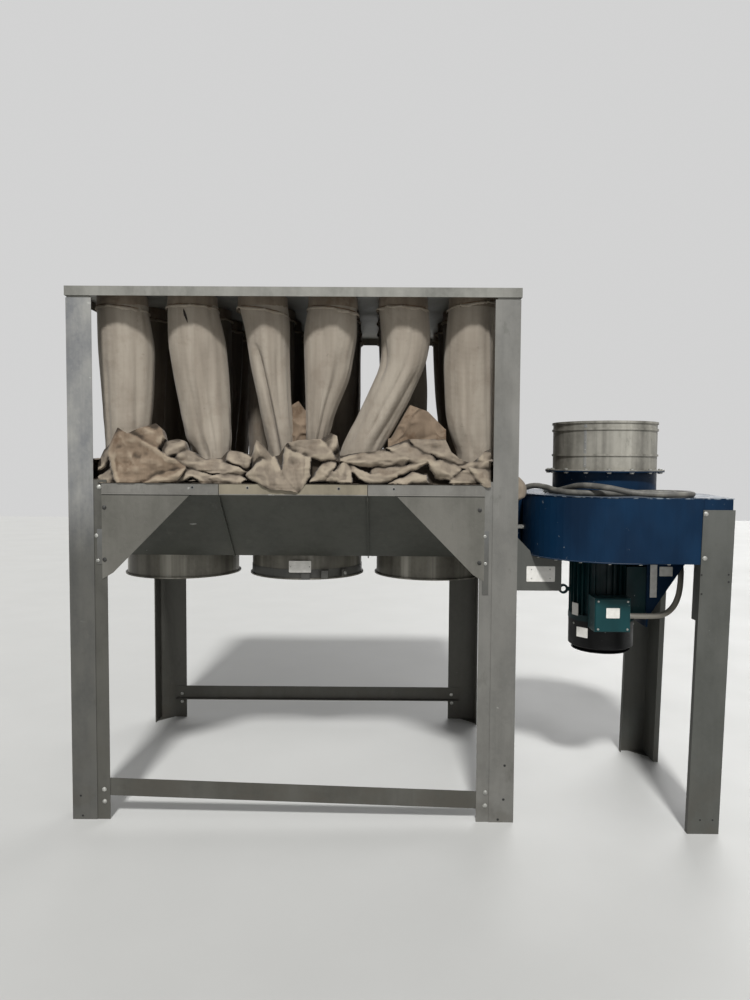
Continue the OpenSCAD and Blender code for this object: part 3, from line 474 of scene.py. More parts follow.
# Filter cloth of the hanging bags
BAG_CLOTH = canvas("filter_cloth", "9d9486", "aca396", "82786c")
# The rear rows' cloth, a little more stained, and darker as painted shade deep among the bags
BACK_CLOTH = canvas("filter_cloth_painted_shade", "756c60", "847a6d", "5a5248", 0.25)
# The hems' lighter cloth: painted light on an edge that sits in the tray's shade
HEM_CLOTH = canvas("hem_cloth", "b3a898", "c4baab", "8c806f", 0.35)
# The heap's warmer cloth
HEAP_CLOTH = canvas("slack_cloth", "82776a", "938776", "635a4e", 0.3, 0.0003)
# The stained bag at the left
STAINED_CLOTH = canvas("stained_cloth", "7c6c5a", "917f6c", "57493c", 0.8, 0.0003)
# The cuffs' tan canvas at the cups
CUFF_CLOTH = canvas("cuff_cloth", "7f7364", "94887a", "5f5346", 0.5)
# Zinc plated fasteners
ZINC = plain_paint("zinc_plate", "8f8f8a", "b3b3ad", 0.32, 0.5, 16.7, Metallic=0.7)
# Dark, weathered fasteners
DARK_STEEL = plain_paint("dark_steel", "2c2c2b", "4b4a47", 0.45, 0.65, 16.7, Metallic=0.5)


# Grey ribbed PVC jacket of the conduit
def conduit_jacket(tree):
    """Grey PVC, dusty in pale blotches, paler in the low loop and darker higher up, where it lies on the
    housing.
    """
    height = axis_of(tree, "ShaderNodeTexCoord", "Object", 2)
    shade = mix(tree, ramp(tree, height, 1.05, 1.32), colour("8b877d"), colour("53524e"))
    shade = mix(tree, ramp(tree, speckle(tree, 55.6, 5.0), 0.4, 0.7, 0.0, 0.35), shade, colour("a09c91"))
    rough = ramp(tree, speckle(tree, 83.3, 4.0), 0.3, 0.7, 0.48, 0.65)
    return shade, rough, speckle(tree, 5, 3.0), 0.0002


CONDUIT_GREY = finish_material("conduit_jacket", conduit_jacket, Specular_IOR_Level=0.35)
# Blank label plates
LABEL = plain_paint("blank_label", "d6d4cd", "e4e2dc", 0.45, 0.6, 25)
# Shadow inside holes
HOLE_DARK = plain_paint("hole_shadow", "0d0d0d", "171716", 0.8, 0.9)

# Finishes of the CAD nodes
FINISHES = [
    (GALVANISED, ["post_front_left", "post_rear_left", "post_rear_right", "fan_side_panel", "outlet_strap"]),
    (TRAY_SHEET, ["top_panel", "top_rim", "top_cleats"]),
    (GALVANISED_RIGHT, ["post_front_right", "leg_front_right"]),
    (DARK_SHEET, ["leg_front_left", "leg_rear_left", "leg_rear_right", "brace_front", "brace_rear"]),
    (LEG_SHEET, ["fan_leg_front", "fan_leg_rear", "fan_bracket", "fan_side_plate"]),
    (DECK_SHEET, ["deck_left", "deck_right"]),
    (YELLOWED_SHEET, ["deck_middle"]),
    (HOPPER_SHEET, ["hopper_left", "hopper_middle", "hopper_right"]),
    (GUSSET_SHEET, ["gussets_front", "gussets_rear"]),
    (COLLAR_SHEET, ["inlet_collar"]),
    (OUTLET_SHEET, ["outlet_left", "outlet_middle", "outlet_right"]),
    (CUFF_CLOTH, ["bag_cups"]),
    (NAVY, ["fan_scroll", "fan_top_plate", "fan_bottom_plate", "fan_corner", "fan_neck", "motor_bracket"]),
    (WHEEL_PAINT, ["fan_wheel", "wheel_blades", "wheel_ring"]),
    (TEAL, ["motor_frame", "motor_feet", "motor_eye"]),
    (TERMINAL_TEAL, ["terminal_box"]),
    (COVER_BLACK, ["motor_cover"]),
    (ZINC, ["conduit_gland", "conduit_fitting"]),
]
for material, names in FINISHES:
    for name in names:
        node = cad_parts[name]
        if not node.material_slots:
            node.data.materials.append(material)
        for place in node.material_slots:
            place.material = material

# Conduit: the CAD route, from the terminal box round the scroll to the loose end on the housing
CONDUIT_D = 0.025
CLIP_WIDE, CLIP_THICK = 0.016, 0.0014
CONDUIT_ROUTE = [
    (1.445, -0.455, 0.837), (1.570, -0.457, 0.840), (1.626, -0.455, 0.868), (1.658, -0.448, 0.926),
    (1.680, -0.415, 1.000), (1.704, -0.345, 1.050), (1.714, -0.260, 1.072), (1.700, -0.165, 1.080),
    (1.645, -0.076, 1.082), (1.560, -0.020, 1.082), (1.455, 0.002, 1.082), (1.245, -0.032, 1.079),
    (1.150, -0.085, 1.070), (1.070, -0.155, 1.057), (1.004, -0.222, 1.074), (0.972, -0.262, 1.134),
    (0.968, -0.280, 1.210), (0.969, -0.288, 1.290), (0.979, -0.300, 1.348), (1.004, -0.325, 1.385),
    (1.040, -0.361, 1.399), (1.078, -0.410, 1.395), (1.108, -0.466, 1.384), (1.152, -0.520, 1.377),
    (1.220, -0.560, 1.376), (1.304, -0.572, 1.376), (1.386, -0.556, 1.376), (1.462, -0.516, 1.376),
    (1.540, -0.490, 1.376), (1.611, -0.518, 1.376), (1.640, -0.590, 1.376), (1.611, -0.660, 1.376),
    (1.540, -0.687, 1.376), (1.455, -0.681, 1.377), (1.370, -0.666, 1.383), (1.298, -0.634, 1.398),
    (1.238, -0.580, 1.406), (1.194, -0.512, 1.404), (1.164, -0.436, 1.390), (1.142, -0.362, 1.377),
    (1.130, -0.290, 1.376),
]
conduit_line = smooth_path([at(*p) for p in CONDUIT_ROUTE], 10)
tube = Shape()
sweep(tube, conduit_line, CONDUIT_D / 2, 16)
conduit = piece("conduit_tube", tube, CONDUIT_GREY)
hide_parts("conduit")

# Its end fitting: a nut, a body with a thread and a ring, within the CAD fitting's place
end_way = (conduit_line[-1] - conduit_line[-2]).normalized()
fitting_shape = Shape()
turned(fitting_shape, conduit_line[-1], end_way, [(0.0125, 0), (0.0125, 0.014), (0.0118, 0.015)], 6)
threads = [(0.0104 + 0.0007 * (k % 2), 0.015 + 0.0014 * k) for k in range(12)]
turned(fitting_shape, conduit_line[-1], end_way, threads, 24)
turned(fitting_shape, conduit_line[-1], end_way, [(0.0125, 0.032), (0.0125, 0.044), (0.0112, 0.046)], 6)
turned(fitting_shape, conduit_line[-1], end_way, [(0.0096, 0.046), (0.0096, 0.056), (0.0126, 0.057),
    (0.0126, 0.061), (0.0088, 0.062), (0.0080, 0.054)], 24)
fitting = piece("conduit_end_fitting", fitting_shape, ZINC)
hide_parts("conduit_fitting")


def clip(shape, place, along, normal, reach):
    """A saddle that holds the conduit to a sheet; reach is from the tube's middle to the sheet."""
    across = along.cross(normal).normalized()
    r = CONDUIT_D / 2 + 0.0012
    arc = [(math.cos(a) * r, -math.sin(a) * r) for a in (math.pi * k / 10 for k in range(11))]
    part = bmesh.new()
    line = [part.verts.new((p, q, -CLIP_WIDE / 2))
        for p, q in [(r + 0.016, reach), (r, reach)] + arc + [(-r, reach), (-r - 0.016, reach)]]
    for pair in zip(line, line[1:]):
        part.edges.new(pair)
    drawn = bmesh.ops.extrude_edge_only(part, edges=part.edges[:])["geom"]
    bmesh.ops.translate(part, vec=(0, 0, CLIP_WIDE),
        verts=[item for item in drawn if isinstance(item, bmesh.types.BMVert)])
    bmesh.ops.recalc_face_normals(part, faces=part.faces[:])
    inward = sum(face.normal.dot(face.calc_center_median()) for face in part.faces) < 0
    bmesh.ops.solidify(part, geom=part.faces[:], thickness=CLIP_THICK if inward else -CLIP_THICK)
    stand = Matrix((across, normal, along)).transposed().to_4x4()
    bmesh.ops.transform(part, matrix=Matrix.Translation(place) @ stand, verts=part.verts[:])
    shape.take(part)
    for way in (1, -1):
        screw(shape, place + across * way * (r + 0.010) + normal * (reach - 0.0012), -normal, 0.004)


clips = Shape()
for k in (9, 10, 11):
    here = conduit_line[k * 10]
    way = (conduit_line[k * 10 + 1] - here).normalized()
    way = (way - UP * way.z).normalized()
    clip(clips, here, way, UP, HOUSING_LOW - here.z)
here = conduit_line[160]
clip(clips, here, UP, RIGHT, 0.041)
piece("conduit_clips", clips, ZINC)


# Hanging bags
def along(form, share):
    """One ring of a bag: its shift, half width and half depth at a share of the way down, softly joined."""
    total = Vector((0, 0, 0))
    for off in (-0.06, -0.03, 0, 0.03, 0.06):
        s = min(max(share + off, 0), 1)
        for low, high in zip(form, form[1:]):
            if s <= high[0]:
                t = (s - low[0]) / (high[0] - low[0])
                total += Vector(low[1:]).lerp(Vector(high[1:]), t) / 5
                break
    return total


def bag(shape, col, row, form, seed, flat=1.7, folds=(), rings=66, around=112):
    """A hanging cloth tube: round at its cup, pressed flatter and creased on its way down."""
    cx = (col - (BAG_COLS - 1) / 2) * BAG_PITCH
    cy = (row - (BAG_ROWS - 1) / 2) * BAG_PITCH
    top, foot, under = CUP_Z + 0.006, SLACK_Z, 0.035
    loops = []
    for i in range(rings + 1):
        z = top - (top - foot + under) * i / rings
        share = min((top - z) / (top - foot), 1)
        shift, wide, deep = along(form, share)
        power = 2 / (2 + (flat - 2) * min(1, share * 1.4))
        ring = []
        for j in range(around):
            a = 2 * math.pi * j / around
            c, s = math.cos(a), math.sin(a)
            x = math.copysign(abs(c) ** power, c) * wide
            y = math.copysign(abs(s) ** power, s) * deep
            push = 0.007 * noise.noise(Vector((c * 1.6 + seed * 7, s * 1.6, z * 2.2)))
            push += 0.0028 * noise.noise(Vector((c * 5 + seed * 3, s * 5, z * 2.5)))
            buckle = max(0, share - 0.55) / 0.45
            push += 0.006 * buckle * noise.noise(Vector((c * 2.5, s * 2.5 + seed, z * 16)))
            for middle, breadth, depth, begin, end, drift in folds:
                turn_to = math.radians(middle + drift * (share - begin))
                off = math.degrees((a - turn_to + math.pi) % (2 * math.pi) - math.pi)
                fade = min(max((share - begin) / 0.12, 0), 1) * min(max((end - share) / 0.12, 0), 1)
                push -= depth * fade * math.exp(-abs(off / breadth) ** 1.5)
            grip = min(1, share / 0.06)
            ring.append(at(cx + shift + x + c * push * grip, cy + y + s * push * grip, z))
        loops.append(ring)
    shape.loft(loops)


CUP_FORM = (0, 0, 0.1035, 0.1035)
# Each front bag from left to right: (share of its length, shift, half width, half depth) in metres
FRONT_FORMS = [
    [(0.29, 0.016, 0.120, 0.096), (0.62, 0.016, 0.110, 0.092), (1, 0.012, 0.090, 0.088)],
    [(0.26, 0.019, 0.122, 0.096), (0.50, 0.037, 0.116, 0.092), (0.93, 0.072, 0.094, 0.084),
        (1, 0.096, 0.058, 0.080)],
    [(0.11, 0.017, 0.099, 0.098), (0.39, 0.030, 0.086, 0.090), (0.62, 0.049, 0.071, 0.084),
        (1, 0.085, 0.055, 0.060)],
    [(0.19, -0.008, 0.116, 0.096), (0.48, -0.023, 0.097, 0.088), (0.69, -0.050, 0.065, 0.076),
        (1, -0.080, 0.034, 0.050)],
    [(0.21, 0.015, 0.105, 0.094), (0.39, 0.003, 0.097, 0.090), (0.66, -0.077, 0.097, 0.084),
        (1, -0.192, 0.089, 0.070)],
    [(0.38, -0.003, 0.120, 0.092), (0.75, 0.004, 0.116, 0.088), (1, 0.030, 0.084, 0.080)],
]
# Folds of each front bag: (middle in degrees, 270 is the front, half breadth, depth, from, to, drift)
FRONT_FOLDS = [
    [(300, 7, 0.006, 0.1, 0.9, 12), (236, 9, 0.007, 0.35, 1.1, -10)],
    [(277, 3, -0.003, 0.04, 1.1, 22), (296, 16, 0.009, 0.25, 1.1, 4), (250, 20, 0.007, 0.5, 1.1, 10)],
    [(238, 8, 0.036, 0.26, 1.1, 48), (300, 14, 0.006, 0.3, 0.8, 0)],
    [(252, 10, 0.006, 0.1, 0.9, 18), (306, 14, 0.010, 0.3, 1.1, -24)],
    [(206, 8, 0.014, 0.20, 0.55, 30), (292, 14, 0.010, 0.0, 0.9, -30), (322, 10, 0.010, 0.4, 1.0, -20)],
    [(296, 5, 0.006, 0.05, 1.1, 3), (314, 6, 0.010, 0.05, 1.1, 2), (250, 14, 0.007, 0.3, 1.1, -8)],
]
FRONT_FLAT = [1.9, 1.6, 1.7, 1.5, 1.45, 1.8]
for col in range(BAG_COLS):
    shape = Shape()
    bag(shape, col, 0, [CUP_FORM] + FRONT_FORMS[col], col + 1, FRONT_FLAT[col], FRONT_FOLDS[col])
    made = piece("bag_front_%d" % (col + 1), shape, BAG_CLOTH, 60)
    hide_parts("bags_front")

BACK_LEANS = [
    [-0.015, 0.010, -0.020, -0.030, 0.030, 0.025],
    [0.010, -0.025, 0.015, -0.020, 0.020, 0.030],
    [0.020, -0.010, 0.025, -0.010, 0.025, 0.045],
]
for row, (leans, node) in enumerate(zip(BACK_LEANS, ["bags_second", "bags_third", "bags_rear"]), 1):
    shape = Shape()
    for col, lean in enumerate(leans):
        form = [CUP_FORM, (0.5, lean / 2, 0.108, 0.092), (1, lean, 0.092, 0.088)]
        seed = 10 * row + col
        turn_a = 250 + 60 * noise.noise(Vector((seed, 0.5, 0)))
        folds = [(turn_a, 10, 0.012, 0.2, 1.1, 15), (turn_a + 150, 12, 0.012, 0.3, 1.1, -18),
            (turn_a + 70, 7, 0.008, 0.1, 0.9, 8)]
        bag(shape, col, row, form, seed, 1.75, folds, 40, 72)
    made = piece(node.replace("bags", "bag_row"), shape, BACK_CLOTH, 60)
    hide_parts(node)


def on_bag(number, px, py):
    """The point of a front bag that the photograph shows at a pixel, and its normal there."""
    mesh = bpy.data.objects["bag_front_%d" % number].data
    tree = BVHTree.FromPolygons([v.co for v in mesh.vertices], [tuple(f.vertices) for f in mesh.polygons])
    way = (seen(px, py, 0) - EYE).normalized()
    place, normal = tree.ray_cast(EYE, way)[:2]
    return place, normal if normal.dot(way) < 0 else -normal


# A torn slit below the second bag's hem, as (across, down, half breadth) in pixels
SLIT = [(183.4, 308.5, 0.1), (184.2, 311.5, 0.9), (185.2, 315, 1.3), (186.4, 318.5, 0.9), (187.6, 322.5, 0.1)]
slit = Shape()
for px, py, half in SLIT:
    for side in (-1, 1):
        place, normal = on_bag(2, px + side * half, py)
        slit.points.append(place + normal * 0.0012)
slit.faces = [(2 * k, 2 * k + 1, 2 * k + 3, 2 * k + 2) for k in range(4)]
made = piece("bag_slit", slit, plain_paint("slit_shadow", "1a140f", "2a2119", 0.85, 0.95))
thicker = made.modifiers.new("thicker", "SOLIDIFY")
thicker.thickness = 0.001


# Cuffs round the cups, with the bags' ragged hems and a dark thread round each as a painted shadow line above
# the
# hem: the cuff's radii from its foot up, and the hem's profile as (radius, height from the cup's lower edge)
CUFF_RADII = (0.1050, 0.1072, 0.1050, 0.1056)
HEM_PROFILE = ((0.1045, -0.008), (0.1085, -0.0075), (0.1115, -0.011), (0.1135, -0.016), (0.1125, -0.020))


def cuff(band, hem, thread, x, y, seed, tilt):
    """The gathered band round one cup and the hem that stands out below it, lower to the right by tilt."""
    count = 96
    rings = []
    for z, radius in zip((CUP_Z - 0.010, CUP_Z + 0.002, CUP_Z + 0.018, TRAY_Z - 0.004), CUFF_RADII):
        ring = []
        for j in range(count):
            a = 2 * math.pi * j / count
            c, s = math.cos(a), math.sin(a)
            r = radius + 0.0016 * noise.noise(Vector((c * 9, s * 9, z * 40 + seed)))
            ring.append(at(x + c * r, y + s * r, z))
        rings.append(ring)
    band.loft(rings)
    rings = []
    for out, drop in HEM_PROFILE:
        ring = []
        for j in range(count * 2):
            a = math.pi * j / count
            c, s = math.cos(a), math.sin(a)
            frill = 0.010 * noise.noise(Vector((c * 2.6, s * 2.6, seed)))
            frill += 0.004 * noise.noise(Vector((c * 15, s * 15, seed)))
            share = (out - 0.1045) / 0.009
            r = out + frill * 0.5 * share
            ring.append(at(x + c * r, y + s * r, CUP_Z + drop + frill * share - tilt * (c + 1) / 2))
        rings.append(ring)
    hem.loft(rings)
    line = []
    for j in range(73):
        a = 2 * math.pi * j / 72
        wander = 0.002 * noise.noise(Vector((math.cos(a) * 5, math.sin(a) * 5, seed)))
        drop = -0.0065 + wander - tilt * (math.cos(a) + 1) / 2
        line.append(at(x + math.cos(a) * 0.1082, y + math.sin(a) * 0.1082, CUP_Z + drop))
    sweep(thread, line, 0.0013, 6)


FRONT_TILTS = (0.016, 0.004, 0.030, 0.022, 0.006, -0.026)
bands, hems, threads_shape = Shape(), Shape(), Shape()
for row in range(BAG_ROWS):
    for col in range(BAG_COLS):
        cup_x, cup_y = (col - (BAG_COLS - 1) / 2) * BAG_PITCH, (row - (BAG_ROWS - 1) / 2) * BAG_PITCH
        tilt = FRONT_TILTS[col] if row == 0 else 0.012 * noise.noise(Vector((col * 3.1, row * 2.3, 0.5)))
        cuff(bands, hems, threads_shape, cup_x, cup_y, row * 7 + col, tilt)
made = piece("bag_cuffs", bands, CUFF_CLOTH, 60)
made = piece("bag_hems", hems, HEM_CLOTH, 60)
# A dark brown thread round each hem, painted as the shadow line above it
HEM_SHADOW_THREAD = plain_paint("hem_shadow_thread", "5a4330", "74573c", 0.8, 0.9)
made = piece("hem_threads", threads_shape, HEM_SHADOW_THREAD, 60)


# Slack cloth heaped on the deck
HEAP_HALF_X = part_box("bag_slack")[1].x - MIDDLE.x
HEAP_HALF_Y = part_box("bag_slack")[1].y - MIDDLE.y


HEAP_NX, HEAP_NY = 150, 106
heap = Shape()
heap.grid(HEAP_NX + 1, HEAP_NY + 1)


def grid_place(i, j):
    """A grid point of the heap, from -1 to 1 on both axes."""
    return 2 * i / HEAP_NX - 1, 2 * j / HEAP_NY - 1


def simulated_heap():
    """A sheet wider than the deck, held at the bags' feet and gathered to the feet's real places."""
    spread = 1.32
    held_z = DECK_Z + 0.085
    patch = 0.045
    gather_frames, last_frame = 40, 52
    grid = [grid_place(i, j) for i in range(HEAP_NX + 1) for j in range(HEAP_NY + 1)]
    flat = [(u * HEAP_HALF_X * spread, v * HEAP_HALF_Y * spread) for u, v in grid]
    start = [at(x, y, DECK_Z + 0.05 + 0.012 * noise.noise(Vector((x * 7, y * 7, 0)))
        + 0.006 * noise.noise(Vector((x * 19, y * 19, 3)))) for x, y in flat]
    mesh = bpy.data.meshes.new("gathering")
    mesh.from_pydata(start, [], heap.faces)
    sheet = bpy.data.objects.new("gathering", mesh)
    bpy.context.scene.collection.objects.link(sheet)
    held = sheet.vertex_groups.new(name="held")
    sheet.shape_key_add(name="flat")
    gathered = sheet.shape_key_add(name="gathered")
    feet = [((col - (BAG_COLS - 1) / 2) * BAG_PITCH, (row - (BAG_ROWS - 1) / 2) * BAG_PITCH,
        FRONT_FORMS[col][-1][1] if row == 0 else 0) for row in range(BAG_ROWS) for col in range(BAG_COLS)]
    for k, (x, y) in enumerate(flat):
        for foot_x, foot_y, shift in feet:
            off_x, off_y = x - foot_x * spread, y - foot_y * spread
            if math.hypot(off_x, off_y) < patch:
                held.add([k], 1.0, "REPLACE")
                gathered.data[k].co = at(foot_x + shift + off_x * 0.9, foot_y + off_y * 0.9, held_z)
    gathered.value = 0
    gathered.keyframe_insert("value", frame=1)
    gathered.value = 1
    gathered.keyframe_insert("value", frame=gather_frames)
    ground_mesh = bpy.data.meshes.new("stop")
    corners = [(x, y, DECK_Z) for x, y in ((-3, -3), (3, -3), (3, 3), (-3, 3))]
    ground_mesh.from_pydata(corners, [], [(0, 1, 2, 3)])
    ground = bpy.data.objects.new("stop", ground_mesh)
    bpy.context.scene.collection.objects.link(ground)
    ground.modifiers.new("stop", "COLLISION")
    ground.collision.thickness_outer = 0.003
    ground.collision.cloth_friction = 20
    fall = sheet.modifiers.new("fall", "CLOTH")
    fall.settings.quality = 6
    fall.settings.mass = 0.3
    fall.settings.tension_stiffness = 25
    fall.settings.compression_stiffness = 25
    fall.settings.shear_stiffness = 8
    fall.settings.bending_stiffness = 1.2
    fall.settings.air_damping = 2
    fall.settings.vertex_group_mass = "held"
    fall.collision_settings.collision_quality = 3
    fall.collision_settings.distance_min = 0.003
    fall.collision_settings.use_self_collision = True
    fall.collision_settings.self_distance_min = 0.004
    fall.point_cache.frame_start = 1
    fall.point_cache.frame_end = last_frame
    for step in range(1, last_frame + 1):
        bpy.context.scene.frame_set(step)
    settled = sheet.evaluated_get(bpy.context.evaluated_depsgraph_get()).to_mesh()
    points = [v.co.copy() for v in settled.vertices]
    bpy.context.scene.frame_set(1)
    for gone in (sheet, ground):
        bpy.data.objects.remove(gone)
    highest = max(q.z for q in points)
    for q in points:
        q.x = MIDDLE.x + soft_limit(q.x - MIDDLE.x, HEAP_HALF_X)
        q.y = MIDDLE.y + soft_limit(q.y - MIDDLE.y, HEAP_HALF_Y)
        q.z = DECK_Z + 0.002 + (q.z - DECK_Z) * (SLACK_Z - DECK_Z) / (highest - DECK_Z)
    return points


def soft_limit(value, limit, room=0.03):
    """Keeps a value within a limit and squeezes what lies beyond it into the last room."""
    over = abs(value) - (limit - room)
    if over <= 0:
        return value
    return math.copysign(limit - room + room * (1 - math.exp(-over / room)), value)


heap.points = simulated_heap()
made = piece("slack_cloth", heap, HEAP_CLOTH, 180)
finer = made.modifiers.new("finer", "SUBSURF")
finer.levels = finer.render_levels = 1
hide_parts("bag_slack")


def line_at(line, u):
    """The height of a line of (across, height) points at u."""
    for a, b in zip(line, line[1:]):
        if u <= b[0] and b[0] > a[0]:
            return a[1] + (b[1] - a[1]) * max(0, u - a[0]) / (b[0] - a[0])
    return line[-1][1]


def edge_distance(outline, u, v):
    """Distance from a point to an outline, above 0 inside it and below 0 outside."""
    inside = False
    nearest = 1e9
    for (ax, ay), (bx, by) in zip(outline, outline[1:] + outline[:1]):
        if (ay > v) != (by > v) and u < ax + (bx - ax) * (v - ay) / (by - ay):
            inside = not inside
        t = ((u - ax) * (bx - ax) + (v - ay) * (by - ay)) / ((bx - ax) ** 2 + (by - ay) ** 2)
        t = min(max(t, 0), 1)
        nearest = min(nearest, math.hypot(u - ax - (bx - ax) * t, v - ay - (by - ay) * t))
    return nearest if inside else -nearest


def crumple(place, seed=0.0):
    """Soft folds that cross each other, each with a crest narrower than its valley; from about -1 to 1."""
    bent = place + noise.noise_vector(place * 0.7 + Vector((seed, 0, 3))) * 0.6
    crest = 1 - abs(noise.noise(bent * 1.1 + Vector((seed, 1, 2)))) * 3.2
    cross = 1 - abs(noise.noise(Vector((bent.y, -bent.x, bent.z)) * 0.8 + Vector((seed, 8, 5)))) * 3.2
    return max(crest, cross * 0.8, -0.6)


# The photograph's folds along the front of the heap, from the back to the front.
# Each is (lift in mm, lean across, lean down, outline in pixels); the leans give the way that the fold bows in.
FRONT_RELIEF = [
    (4, 0.3, 0.5, [(159, 446), (167, 440), (178, 438), (186, 440), (188, 450), (183.5, 456), (167, 456)]),
    (8, -0.3, 0.6, [(172, 462), (178, 454), (188, 449), (194, 451), (206, 460), (194.5, 462)]),
    (6, 0.4, 0.7, [(226, 461), (229.5, 450), (241.5, 451), (252, 457), (248, 472), (236, 465)]),
    (9, 0.2, -0.3, [(250.5, 459), (256.5, 438), (267.5, 446), (277, 461), (261, 463), (252.5, 467)]),
    (12, -0.4, 0.9, [(173, 459), (192, 461.5), (205.5, 460), (221, 458), (226, 463), (219.5, 467.5),
        (210, 471), (196, 470), (186, 468)]),
    (16, 0.2, 1.2, [(195, 469), (210, 470), (220, 461.5), (234, 466), (248, 473), (243, 476), (228, 474),
        (210, 473)]),
    (18, 0.3, 0.6, [(184, 469), (194.5, 469), (211, 475), (216, 483), (204, 484), (192, 477), (175, 484),
        (178, 478)]),
    (22, -0.2, 0.7, [(213, 475), (228, 473.5), (240, 475), (247, 479.5), (241, 484), (214, 484),
        (209, 478)]),
    (3, 0.4, 0.5, [(324, 441), (330, 432), (338, 433), (352, 430), (340, 449), (332, 455)]),
    (9, 0.5, 0.8, [(288, 441), (300, 438), (321, 438), (335, 457), (343, 463), (324.5, 461), (298.5, 455),
        (288, 448)]),
    (6, 0.3, 0.9, [(408.5, 438), (428, 438), (447, 438), (452, 452), (470, 464), (461, 468), (434.5, 456),
        (415, 446)]),
    (11, -0.2, 0.8, [(386, 448), (407, 442), (422, 449.5), (437, 459), (434.5, 463), (418, 466), (404, 463),
        (398, 455)]),
    (18, 0.05, 1.1, [(337, 460), (348, 456), (359, 452), (378, 450), (404, 453), (410, 459), (404.5, 466),
        (372.5, 468), (348, 464)]),
    (15, 0.3, 0.7, [(368, 476), (372.5, 467), (397.5, 467), (422, 463), (430, 461), (414, 471),
        (397.5, 476)]),
    (20, 0.5, 0.8, [(309, 482), (323, 462), (337, 463), (331.5, 472.5), (326, 482)]),
    (24, -0.5, 0.7, [(324, 482), (335.5, 469), (346.5, 460), (351, 471.5), (352, 483)]),
    (20, 0.3, 0.9, [(347, 461), (359, 468.5), (370, 474), (397.5, 474), (398, 478), (386.5, 483),
        (366, 483), (350.5, 472)]),
    (24, 0.2, 0.7, [(388, 484), (414, 472), (426, 475), (430, 484)]),
    (22, -0.2, 0.4, [(427, 461), (440, 460), (452.5, 463), (463, 468.5), (449, 481), (436, 478),
        (429.5, 469)]),
    (14, 0.3, 0.8, [(458, 467), (473, 461), (492, 461), (492, 470), (469, 470)]),
    (10, -0.4, 0.6, [(478, 460), (484, 451), (492, 449), (492, 466), (480, 464)]),
    (20, 0.4, 0.7, [(449, 484), (453, 475), (469, 468), (480, 484)]),
    (28, -0.5, 0.4, [(468, 468), (483, 468), (492, 470), (493, 490), (484, 488), (477, 481)]),
    (8, 0.6, 0.4, [(97, 462), (104, 449), (110, 443), (112, 454), (105, 467), (98, 470)]),
    (12, 0.5, 0.5, [(98, 477), (111.5, 469), (115, 477), (118, 484), (100, 484)]),
    (14, -0.5, 0.5, [(127, 434), (137.5, 427), (155.5, 422), (164, 430), (165, 438), (157, 451),
        (138, 439)]),
    (30, 0.25, 0.35, [(108, 449), (111.5, 440), (117.5, 425), (127, 432), (138, 437), (161.5, 451.5),
        (187, 467), (185, 470), (156, 475.5), (143.5, 484), (117, 484), (111, 467)]),
    (34, 0.2, 0.9, [(142, 484), (156, 475), (187, 467.5), (176, 482)]),
    (32, 0.35, 0.45, [(284, 446), (293, 452), (311, 457), (309.5, 477), (300, 495), (289.5, 494),
        (281.5, 474)]),
    (38, -0.25, 0.5, [(246, 476), (252.5, 468), (261.5, 460), (275, 458.5), (283, 473.5), (289, 481),
        (298, 495), (268, 493), (259, 485)]),
]
STAINED_FOLDS = (25, 26, 27)
RELIEF_BEYOND = -34
PIXEL_MM = 4.1
# Where the heap's front begins and ends, in pixels of the photograph
HEAP_LOW_LINE = [
    (98, 479), (104, 482.5), (144, 482), (176, 481), (185, 482.5), (241, 482.7), (247.5, 479), (259, 484),
    (269, 489.7), (289.5, 490.7), (299, 492.8), (308.5, 479), (311, 481.5), (351, 482), (392, 482.7),
    (469, 483), (479, 484), (487, 488), (491, 487),
]
HEAP_TOP_LINE = [
    (98, 463), (104, 450), (109.5, 444), (112, 439), (117.5, 427.5), (127, 433.5), (137.5, 428.5),
    (155.5, 423.5), (162, 429), (164, 438), (167, 441), (178, 439), (185, 441), (188, 450), (196, 453),
    (205, 459), (221, 458), (229.5, 450), (241.5, 452), (250.5, 455), (256.5, 440), (263, 445), (272, 457),
    (279, 455), (287, 443), (300, 440), (320, 439), (326, 437), (331, 433), (337, 436), (340, 456),
    (359, 452.5), (378, 451), (388, 447), (398, 443), (408.5, 439), (445.5, 439.5), (451.5, 452),
    (462, 461), (473, 462), (481, 456), (485, 451), (491, 449),
]


def fold_frame(outline, lean_x, lean_y):
    """A fold's middle, the direction that it bows in and half its size that way, in pixels."""
    mid_x = sum(p[0] for p in outline) / len(outline)
    mid_y = sum(p[1] for p in outline) / len(outline)
    size = math.hypot(lean_x, lean_y)
    way = (lean_x / size, lean_y / size)
    return mid_x, mid_y, way, max(abs((x - mid_x) * way[0] + (y - mid_y) * way[1]) for x, y in outline)


FOLD_FRAMES = [fold_frame(outline, lean_x, lean_y) for lift, lean_x, lean_y, outline in FRONT_RELIEF]


